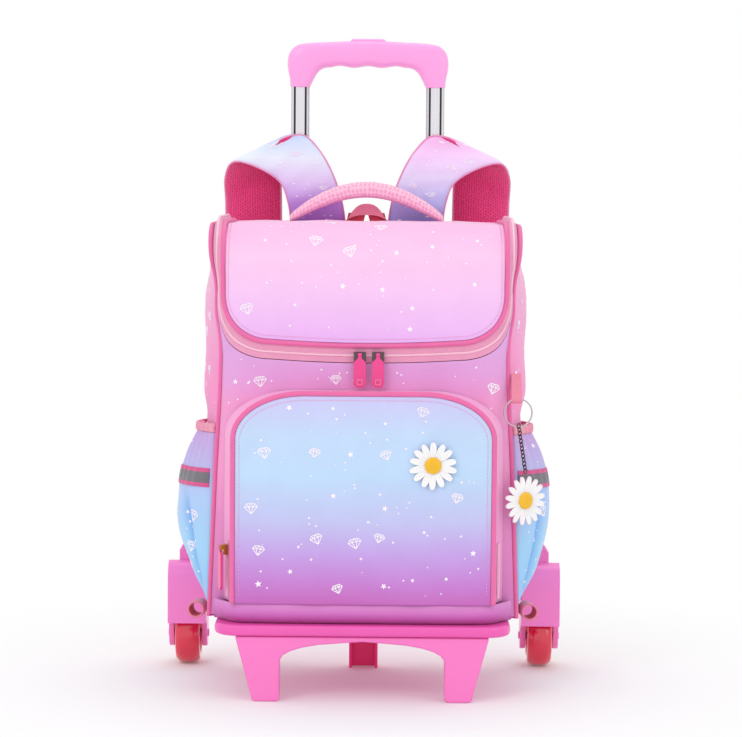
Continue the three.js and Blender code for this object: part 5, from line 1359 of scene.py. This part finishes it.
# A print lies on each cloth, placed by the same function as the cloth, a quarter of a millimetre out
def makePrint():
    def onLid(a, r):
        return skin(a, r, lidRelief(a, r) + 0.25)

    def inLid(p):
        side = np.abs(p[:, 0])
        within = (side < 124) & (side < edgeHalf(p[:, 1], -9))
        return within & (p[:, 1] > 8) & (p[:, 1] < lowEdge(p[:, 0], -10))

    top = cornerRun + 45
    printOn("lidPrint", onLid, inLid, (-130, 0), (130, top), 44, 5, down=True)

    def onFront(a, r):
        return skin(a, r, frontRelief(a, r) + 0.25)

    def inFront(p):
        side = np.abs(p[:, 0])
        z = bagTop - bag["lidRadius"] + topRun + bendRun - p[:, 1]
        above = (z > bag["pocketTop"] + 6) | ((side > 96) & (z > 284))
        return (side < 138) & (p[:, 1] > lowEdge(p[:, 0], zipOuter + 5)) & above

    low, high = (-140, cornerRun), (140, runAt(290))
    printOn("frontPrint", onFront, inFront, low, high, 36, 9, 0.4, down=True)

    def onPocket(x, z):
        return pocketFace(x, z, 1.25)

    def inPocket(p):
        wide = np.abs(p[:, 0]) / 118
        tall = np.clip((p[:, 1] - 252) / 44, 0, 1)
        daisy = np.hypot(p[:, 0] - 68, p[:, 1] - 235) > 30
        return (wide < np.sqrt(1 - tall ** 2 * 0.6)) & (p[:, 1] > 103) & (p[:, 1] < 294) & daisy

    printOn("pocketPrint", onPocket, inPocket, (-122, 100), (122, 300), 40, 14)
    for name, side in (("left", -1), ("right", 1)):
        def onSide(u, z, side=side):
            return sidePocketPoint(side, z, u / 130, 2.25)

        def inSide(p):
            band = (p[:, 1] < 192) | (p[:, 1] > 223)
            return (p[:, 0] > 8) & (p[:, 0] < 122) & (p[:, 1] > 100) & (p[:, 1] < 246) & band

        label = f"sidePocketPrint_{name}"
        printOn(label, onSide, inSide, (0, 96), (130, 250), 34, 17 + side, 0.4)

        def onPanel(y, z, side=side):
            share = y / 130
            run = runAtHeight(z)
            return sidePoint(side, run, share, sideRelief(run, share, side) + 0.25)

        def inPanel(p):
            return (p[:, 0] > 10) & (p[:, 0] < 120) & (p[:, 1] > 276) & (p[:, 1] < 440)

        label = f"sidePanelPrint_{name}"
        printOn(label, onPanel, inPanel, (0, 270), (130, 446), 38, 27 + side, 0.4)
        form = strapFrame(side, 260)

        def onStrap(s, w, form=form, side=side):
            i = np.clip(s / 2.6, 0, 258.999)
            low = i.astype(int)
            u = w / 30
            waves = 0.5 * slack(i * 2.0, u * 30, 71 + side, 60)
            a = strapPoint(form, low, u, waves + 0.3)
            b = strapPoint(form, low + 1, u, waves + 0.3)
            return a + (b - a) * (i - low)[:, None]

        def inStrap(p):
            return (np.abs(p[:, 1]) < 24) & (p[:, 0] > 30) & (p[:, 0] < 600)

        label = f"strapPrint_{name}"
        printOn(label, onStrap, inStrap, (20, -28), (610, 28), 30, 37 + side, 0.35)


# Daisies: each petal is a cupped leaf, all of them round a grained heart
petal = {
    "start": 0.7, "share": 0.74, "turn": 0.03, "rise": 1.1, "cup": 1.6, "wave": 0.5, "step": 0.35,
    "wall": 1.6,
}


# A petal's width goes with the sine of its length, and its face lifts by the cup times w squared, plus a
# wave of cosine 3 w. The heart is a dome of the root of 1 - (r to 2.4), with a grain of crossed sines.
def makeDaisy(name, centre, turn, radius, heart, petals, nodeNames, twoSided=False):
    out = np.array([math.sin(turn), -math.cos(turn), 0.0])
    right = np.array([math.cos(turn), math.sin(turn), 0.0])
    up = np.array([0.0, 0.0, 1.0])
    rows, columns = 18, 11
    s, w = np.meshgrid(np.linspace(0, 1, rows), np.linspace(-1, 1, columns), indexing="ij")

    def placed(x, z, height):
        return (centre + right * x[..., None] + up * z[..., None] + out * height[..., None]).reshape(-1, 3)

    points, faces, uvs = [], [], []
    pick = np.random.default_rng(3)
    start = heart * petal["start"]
    leaf = np.sin(np.pi * np.clip(0.1 + 0.79 * s, 0, 1)) ** 0.7 * (0.62 + 0.38 * s)
    width = np.pi * radius / petals * petal["share"] * leaf
    for k in range(petals):
        angle = (k + 0.5) / petals * 2 * np.pi + pick.uniform(-petal["turn"], petal["turn"])
        reach = radius * pick.uniform(0.95, 1.0)
        along = start + (reach - start) * s * (1 - 0.05 * w ** 2)
        x = along * np.cos(angle) - w * width * np.sin(angle)
        z = along * np.sin(angle) + w * width * np.cos(angle)
        cup = petal["cup"] * (0.25 + 0.75 * s) * (0.5 + 0.5 * w ** 2)
        lift = petal["rise"] + cup + petal["wave"] * np.cos(3 * np.pi * w) * (1 - s * 0.5)
        lift = lift + (k % 2) * petal["step"]
        low = lift - petal["wall"] if twoSided else np.full_like(lift, 0.2)
        points += [placed(x, z, lift), placed(x, z, low)]
        faces.append(shellFaces(rows, columns) + k * 2 * rows * columns)
        uvs += [np.stack([along, w * width], -1).reshape(-1, 2)] * 2
    points, faces, uvs = np.concatenate(points), [np.concatenate(faces)], np.concatenate(uvs)
    obj = turnOut(meshObject(f"{name}Petals", points, faces, uvs))
    keep(obj, finish["white"], nodeNames[0])
    rings, spokes = 14, 40
    around = np.linspace(0, 2 * np.pi, spokes, endpoint=False)
    r, a = np.meshgrid(np.linspace(0, 1, rings), around, indexing="ij")
    grain = 0.28 * np.sin(r * heart * 3.2) * np.sin(a * 14) * smoothStep(0, 0.3, r) * (1 - r ** 4)
    height = 2.0 + 2.6 * np.sqrt(np.maximum(0, 1 - r ** 2.4)) + grain
    height[-1] = 0.4
    x, z = r * heart * np.cos(a), r * heart * np.sin(a)
    j = np.arange(spokes)
    last = (rings - 1) * spokes
    bottom = np.stack([last + j, last + (j + 1) % spokes, np.full(spokes, rings * spokes)], -1)
    uv = np.stack([x, z], -1).reshape(-1, 2)
    dome = np.concatenate([placed(x, z, height), (centre + out * 0.4)[None]])
    faces = [gridFaces(rings, spokes, False, True), bottom]
    obj = turnOut(meshObject(f"{name}Heart", dome, faces, np.concatenate([uv, uv[:1]])), 1e-6)
    keep(obj, finish["yellow"], nodeNames[1])


# The pocket's daisy faces the front, the charm's is turned and has two faces
def makeDaisies():
    low, high = nodeBox("pocket_daisy_petals")
    centre = np.array([(low[0] + high[0]) / 2, high[1], (low[2] + high[2]) / 2])
    makeDaisy("pocketDaisy", centre, 0, 24, 8.5, 14, ("pocket_daisy_petals", "pocket_daisy_centre"))
    low, high = nodeBox("charm_petals")
    turn = math.radians(charmTurn)
    centre = np.array([(low[0] + high[0]) / 2, (low[1] + high[1]) / 2, low[2] + 25.3])
    back = centre - np.array([math.sin(turn), -math.cos(turn), 0]) * 1.4
    makeDaisy("charm", back, turn, 25.5, 8.8, 16, ("charm_petals", "charm_centre"), twoSided=True)


charmTurn = 36  # degrees that the charm and its chain face to the right


# Keychain: a ring wound twice and links that pass through each other
def makeKeychain():
    low, high = nodeBox("split_ring")
    centre = (low + high) / 2
    radius = (high[2] - low[2]) / 2 - 1.1
    angle = np.linspace(0, 4 * np.pi, 180)
    side = (angle / (4 * np.pi) - 0.5) * 1.5
    x, z = centre[0] + radius * np.cos(angle), centre[2] + radius * np.sin(angle)
    line = np.stack([x, centre[1] + side, z], -1)
    ring = carried("splitRing", line, 0.72, 10, finish["nickel"], "split_ring")
    low, high = nodeBox("charm_chain")
    top = np.array([centre[0] + 0.5, centre[1], high[2]])
    end = np.array([160.0, -84.0, low[2]])
    links = 13
    around, section = (np.linspace(0, 2 * np.pi, count, endpoint=False) for count in (24, 8))
    t, p = np.meshgrid(around, section, indexing="ij")
    wire, wide = 0.62, 2.0
    step = (high[2] - low[2]) / links
    tall = step / 2 + wire * 1.15
    points, faces, uvs = [], [], []
    for k in range(links):
        middle = top + (end - top) * (k + 0.5) / links
        turn = math.radians(charmTurn) + (k % 2) * math.pi / 2
        right = np.array([math.cos(turn), math.sin(turn), 0])
        face = np.array([-math.sin(turn), math.cos(turn), 0])
        ringOut = right * (np.cos(t) * wide)[..., None] + np.array([0, 0, 1]) * (np.sin(t) * tall)[..., None]
        outward = right * np.cos(t)[..., None] + np.array([0, 0, 1]) * np.sin(t)[..., None]
        tube = ringOut + outward * (np.cos(p) * wire)[..., None] + face * (np.sin(p) * wire)[..., None]
        points.append((middle + tube).reshape(-1, 3))
        faces.append(gridFaces(24, 8, True, True, k * 192))
        uvs.append(np.stack([t * 3, p], -1).reshape(-1, 2))
    points, faces, uvs = np.concatenate(points), [np.concatenate(faces)], np.concatenate(uvs)
    chain = turnOut(meshObject("charmChain", points, faces, uvs))
    keep(chain, finish["dark"], "charm_chain")


# Stitches: short threads along a seam, joined in one mesh. A thread is as wide as the root of 1 - s squared.
def stitchLine(name, points, normals, pitch=3.4, length=2.3, wide=0.42, lift=0.25):
    lengths = arcLength(points, 0)
    marks = np.arange(pitch, lengths[-1] - pitch, pitch)
    at = np.stack([np.interp(marks, lengths, points[:, k]) for k in range(3)], -1)
    after = np.stack([np.interp(marks + 0.5, lengths, points[:, k]) for k in range(3)], -1)
    out = np.stack([np.interp(marks, lengths, normals[:, k]) for k in range(3)], -1)
    along = after - at
    along /= np.linalg.norm(along, axis=1, keepdims=True)
    out -= along * np.sum(out * along, 1, keepdims=True)
    out /= np.linalg.norm(out, axis=1, keepdims=True)
    side = np.cross(along, out)
    s = np.linspace(-1, 1, 6)
    a = np.linspace(0, 2 * np.pi, 6, endpoint=False)
    body_ = np.sqrt(np.maximum(0.08, 1 - s ** 2))
    ring = body_[:, None] * wide
    parts = (s * length / 2)[:, None], ring * np.cos(a), ring * np.sin(a) * 0.7
    shape = np.stack(np.broadcast_arrays(*parts), -1)
    pts = at[:, None, None] + along[:, None, None] * shape[None, ..., :1]
    pts = pts + side[:, None, None] * shape[None, ..., 1:2]
    pts = pts + out[:, None, None] * (shape[None, ..., 2:] + lift)
    quads = gridFaces(6, 6, False, True)
    faces = (quads[None] + (np.arange(len(at)) * 36)[:, None, None]).reshape(-1, 4)
    caps = np.array([[3, 2, 1, 0], [5, 4, 3, 0], [30, 31, 32, 33], [30, 33, 34, 35]])
    faces = np.concatenate([faces, (caps[None] + (np.arange(len(at)) * 36)[:, None, None]).reshape(-1, 4)])
    uv = np.zeros((len(at) * 36, 2))
    uv[:, 0] = np.tile(np.repeat(s, 6), len(at))
    obj = meshObject(name, pts, [faces], uv)
    keep(obj, finish["thread"])


# Rows of stitches on the lid, the two zip tapes and the pocket
def makeStitches():
    def onSkin(path, relief, extra=0.0):
        lift = relief(path[:, 0], path[:, 1]) + extra
        a = skin(path[:, 0], path[:, 1], lift)
        b = skin(path[:, 0], path[:, 1], lift + 1)
        return a, b - a

    path = spaced(edgePath(-3.5), 2)
    points, normals = onSkin(path, lidRelief)
    stitchLine("lidStitches", points, normals)
    for k, offset in enumerate((zipInner + 3.6, zipOuter - 3.4)):
        path = spaced(edgePath(offset), 2)
        points, normals = onSkin(path, lambda a, r: a * 0, -0.4)
        stitchLine(f"tapeStitches_{k}", points, normals, 2.8, 1.9, 0.3, 0.1)
    share = np.linspace(0.01, 0.99, 300)
    x, z = pocketRim(share, 6.5, round_=5)
    points = pocketFace(x, z, 1.0)
    stitchLine("pocketStitches", points, np.tile([0.0, -1, 0], (len(points), 1)))


rounding = {"merge": 2e-5, "flat": 3, "sharp": 34}  # metres, then degrees under and over which an edge counts


# A moulded piece keeps the CAD node's own shape, with its edges rounded and a map of z against x + y
def roundedCopy(node, name, width, material, body="bag", segments=3):
    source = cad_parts[node]
    mesh = source.data.copy()
    mesh.name = name
    mesh.materials.clear()
    work = bmesh.new()
    work.from_mesh(mesh)
    bmesh.ops.remove_doubles(work, verts=work.verts, dist=rounding["merge"])
    flat = math.radians(rounding["flat"])
    bmesh.ops.dissolve_limit(work, angle_limit=flat, verts=work.verts, edges=work.edges)
    work.to_mesh(mesh)
    work.free()
    mesh.polygons.foreach_set("use_smooth", np.full(len(mesh.polygons), True))
    points = np.zeros(len(mesh.vertices) * 3, dtype=np.float32)
    mesh.vertices.foreach_get("co", points)
    corners = np.zeros(len(mesh.loops), dtype=np.int32)
    mesh.loops.foreach_get("vertex_index", corners)
    x, y, z = points.reshape(-1, 3)[corners].T * 1000
    layer = mesh.uv_layers.new(name="map")
    layer.data.foreach_set("uv", np.stack([z, x + y], -1).ravel())
    obj = bpy.data.objects.new(name, mesh)
    bpy.context.scene.collection.objects.link(obj)
    bevelEdges(obj, width, segments, rounding["sharp"])
    normals = obj.modifiers.new("normals", "WEIGHTED_NORMAL")
    normals.keep_sharp = True
    keep(obj, material, node, body)
    return obj


# Gives a CAD node that keeps its own shape its material
def paintNode(node, material):
    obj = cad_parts[node]
    obj.data.materials.clear()
    obj.data.materials.append(material)


# The moulded pieces are rounded copies, and the four tubes keep their own shape
def makeTrolley():
    # painted shade: the base plate's colour is the moulded pink darkened for the shade under the bag
    roundedCopy("base_plate", "basePlate", 0.8, finish["plate"])
    roundedCopy("front_feet", "frontFeet", 2.2, finish["plastic"])
    roundedCopy("rear_foot", "rearFoot", 0.8, finish["deep"])
    roundedCopy("back_board", "backBoard", 1.6, finish["plastic"])
    roundedCopy("tube_bracket", "tubeBracket", 1.6, finish["plastic"])
    for name in ("left", "right"):
        roundedCopy(f"wheel_housing_{name}", f"wheelHousing_{name}", 1.6, finish["housing"])
        paintNode(f"outer_tube_{name}", finish["silver"])
        paintNode(f"inner_tube_{name}", finish["silver"])
    roundedCopy("grip_button", "gripButton", 0.5, finish["grip"], "button")


gripShape = {"y": 106, "deep": 13, "wave": 1.8, "square": 0.62}
gripOuter = [
    (-81, 608), (-81.6, 616), (-83.4, 625), (-84, 634), (-81.5, 644), (-74, 651), (-62, 653.4), (-40, 654.6),
    (-20, 655.6), (0, 656),
]
gripInner = [
    (-60.6, 608), (-58.4, 612.6), (-56, 617.4), (-53.4, 621.8), (-50.2, 625.4), (-45, 628.2), (-34, 629.4),
    (-17, 629.4), (0, 629.4),
]


# Grip: a squircle section between an outer and an inner line of the arch, x and z in the drawing's frame
def makeGrip():
    count = 220
    outer, inner = centripetal(mirrored(gripOuter), count), centripetal(mirrored(gripInner), count)
    wave = gripShape["wave"] * np.cos(inner[:, 0] / 44 * np.pi * 3)
    inner[:, 1] += wave * (1 - smoothStep(34, 46, np.abs(inner[:, 0]))) * 0.5 - 0.6
    centre, half = (outer + inner) / 2, (outer - inner) / 2
    angle, c, s = squircle(40, gripShape["square"])
    x = centre[:, None, 0] + half[:, None, 0] * c
    z = centre[:, None, 1] + half[:, None, 1] * c
    points = np.stack([x, np.broadcast_to(gripShape["y"] + gripShape["deep"] * s, x.shape), z], -1)
    uv = np.stack(np.broadcast_arrays(arcLength(outer, 0)[:, None], angle[None] * 13), -1)
    obj = tubeMesh("grip", points, uv, points[[0, -1]].mean(1))
    bevelEdges(obj, 0.8, 2, 60)
    keep(obj, finish["grip"], "grip", "handle")


wheelShape = {"x": 185, "y": 100, "z": 32}
wheelProfile = np.array([
    (-10, 4.4), (-10.4, 9), (-9, 12), (-9.4, 20), (-12.4, 22.5), (-13, 25), (-12, 28.5), (-8, 31), (-3, 31.9),
    (0, 32),
])


def makeWheels():  # a profile of width and radius, turned about the axle
    profile = centripetal(mirrored(wheelProfile), 90)
    spin = np.linspace(0, 2 * np.pi, 72, endpoint=False)
    w, r = profile[:, :1], profile[:, 1:]
    for name, side in (("left", -1), ("right", 1)):
        x = side * wheelShape["x"] + np.broadcast_to(w, (90, 72))
        points = np.stack([x, wheelShape["y"] + r * np.cos(spin), wheelShape["z"] + r * np.sin(spin)], -1)
        uv = np.stack(np.broadcast_arrays(spin[None] * 30, w + 20), -1)
        obj = turnOut(meshObject(f"wheel_{name}", points, [gridFaces(90, 72, True, True)], uv))
        keep(obj, finish["wheel"], f"wheel_{name}", f"wheel_{name}")


# The raised frame on a puller: a small square ring that stands proud of its front face, in a lighter pink
# that is a painted highlight
def pullFrame(name, node, body, share=0.16, half=2.4, pen=0.45, rise=0.35):
    low, high = nodeBox(node)
    middle = np.array([(low[0] + high[0]) / 2, low[1], low[2] + (high[2] - low[2]) * share])
    corners = np.array([[-1, 0, -1], [1, 0, -1], [1, 0, 1], [-1, 0, 1]])
    out = np.array([0, 1, 0])
    points = [corners * (half + size) + out * y for y in (-rise, 0.3) for size in (pen, -pen)]
    faces = []
    for k in range(4):
        n = (k + 1) % 4
        faces += [(k, n, 4 + n, 4 + k), (8 + k, 12 + k, 12 + n, 8 + n)]
        faces += [(k, 8 + k, 8 + n, n), (4 + k, 4 + n, 12 + n, 12 + k)]
    points = middle + np.concatenate(points)
    obj = turnOut(meshObject(name, points, [np.array(faces)], np.zeros((16, 2)), smooth=False))
    bevelEdges(obj, 0.15, 2, 30)
    # painted highlight: the frame gets a lighter copy of the puller's pink
    keep(obj, finish["pullLight"], body=body)


# Sliders and pullers, the bag's floor and the keychain's tab are rounded copies
def makePulls():
    for name in ("left", "right"):
        slider, puller, body = f"zip_slider_{name}", f"zip_puller_{name}", f"puller_{name}"
        roundedCopy(slider, f"zipSlider_{name}", 0.5, finish["dark"], segments=2)
        roundedCopy(puller, f"zipPuller_{name}", 0.6, finish["pull"], body, 2)
        pullFrame(f"pullFrame_{name}", puller, body)
    roundedCopy("pocket_slider", "pocketSlider", 0.5, finish["gold"], segments=2)
    roundedCopy("pocket_puller", "pocketPuller", 0.6, finish["pull"], "pocket_puller", 2)
    roundedCopy("bottom_panel", "bottomPanel", 1.2, finish["band"])
    roundedCopy("charm_tab", "charmTab", 0.6, finish["webbing"], segments=2)


# The zip down each side of the pocket: a tape that lies on the gusset, and a rippled coil along its middle
pocketZip = {
    "low": 101, "top": 156, "depth": 0.52, "across": 0.24, "proud": 1.3, "wall": 1.1, "coil": 0.9,
    "ripple": 2.4,
}


def makePocketZips():
    tall = bag["pocketTop"] - bag["pocketCornerTall"] - bag["pocketSeam"]
    ends = [(pocketZip[key] - bag["pocketSeam"]) / tall * pocketShape["side"] for key in ("low", "top")]
    first, last = ends
    for name, side in (("left", -1), ("right", 1)):
        def tape(v, u, lift, side=side):
            share = first + (last - first) * v
            depth = pocketZip["depth"] + (u - 0.5) * pocketZip["across"]
            return gussetPoint(share if side < 0 else 1 - share, depth, -pocketZip["proud"] - lift)

        label, node = f"pocketZip_{name}", f"pocket_zip_{name}"
        clothWall(label, tape, 30, 8, pocketZip["wall"], finish["tape"], node)
        share = np.linspace(first, last, 160)
        share = share if side < 0 else 1 - share
        line = gussetPoint(share, np.full(160, pocketZip["depth"]), -pocketZip["proud"])
        length = arcLength(line, 0)
        radius = pocketZip["coil"] * (0.84 + 0.16 * np.cos(length * 2 * np.pi / pocketZip["ripple"]))
        carried(f"pocketCoil_{name}", line, radius, 8, finish["teeth"])


# A floor that fades into light with the distance, a white world and three lamps
def makeStage():
    size = studio["floorSize"]
    mesh = bpy.data.meshes.new("floor")
    corners = [(-size, -size, 0), (size, -size, 0), (size, size, 0), (-size, size, 0)]
    mesh.from_pydata(corners, [], [(0, 1, 2, 3)])
    floor = bpy.data.objects.new("floor", mesh)
    bpy.context.scene.collection.objects.link(floor)
    nodes = Nodes("floorPaint")
    point, (x, y, z) = nodes.place()
    cloud = noise(nodes, point, 2.5, 3)
    shade = 0.9 + (cloud - 0.5) * 0.02
    flat = nodes.add("ShaderNodeCombineColor", inputs=[shade, shade, shade])
    reach = (x * x + y * y) ** 0.5
    away = ((reach - studio["paperNear"]) / (studio["paperFar"] - studio["paperNear"])).clipped()
    paper = principled(nodes, {"Base Color": flat, "Roughness": 0.9, "Specular IOR Level": 0.1})
    glow = nodes.add("ShaderNodeEmission", inputs={"Color": (1, 1, 1, 1), "Strength": studio["glow"]})
    shader = nodes.add("ShaderNodeMixShader", inputs={0: away * 0.9 + 0.1, 1: paper, 2: glow})
    mesh.materials.append(nodes.surface(shader))
    world = bpy.data.worlds.new("studio")
    bpy.context.scene.world = world
    world.use_nodes = True
    background = world.node_tree.nodes["Background"]
    background.inputs["Color"].default_value = (*studio["world"], 1)
    background.inputs["Strength"].default_value = studio["worldStrength"]
    aim = (0, 0, 0.3)
    areaLight("key", (-1.6, -2.6, 2.4), aim, studio["keySize"], studio["keyPower"])
    areaLight("fill", (2.2, -2.4, 1.3), aim, studio["fillSize"], studio["fillPower"])
    areaLight("top", (0.2, 0.6, 3.0), aim, studio["fillSize"], studio["topPower"])
    scene = bpy.context.scene
    scene.view_settings.view_transform = "Standard"
    scene.view_settings.exposure = studio["exposure"]


makeCamera()
makeStage()
print("camera and light set")
makeMaterials()
print("materials made:", len(finish))
makeLid()
makeLidZip()
print("lid made")
makeFront()
makeSides()
makeBack()
print("body made")
makePocket()
makeBand()
makeSidePockets()
print("pockets made")
makeStraps()
makeHandles()
makeCornerLoops()
print("straps and handles made")
makePrint()
makeStitches()
print("print and stitches laid")
makeDaisies()
makeKeychain()
print("daisies and keychain made")
makeTrolley()
makeGrip()
makeWheels()
makePulls()
makePocketZips()
print("trolley made")
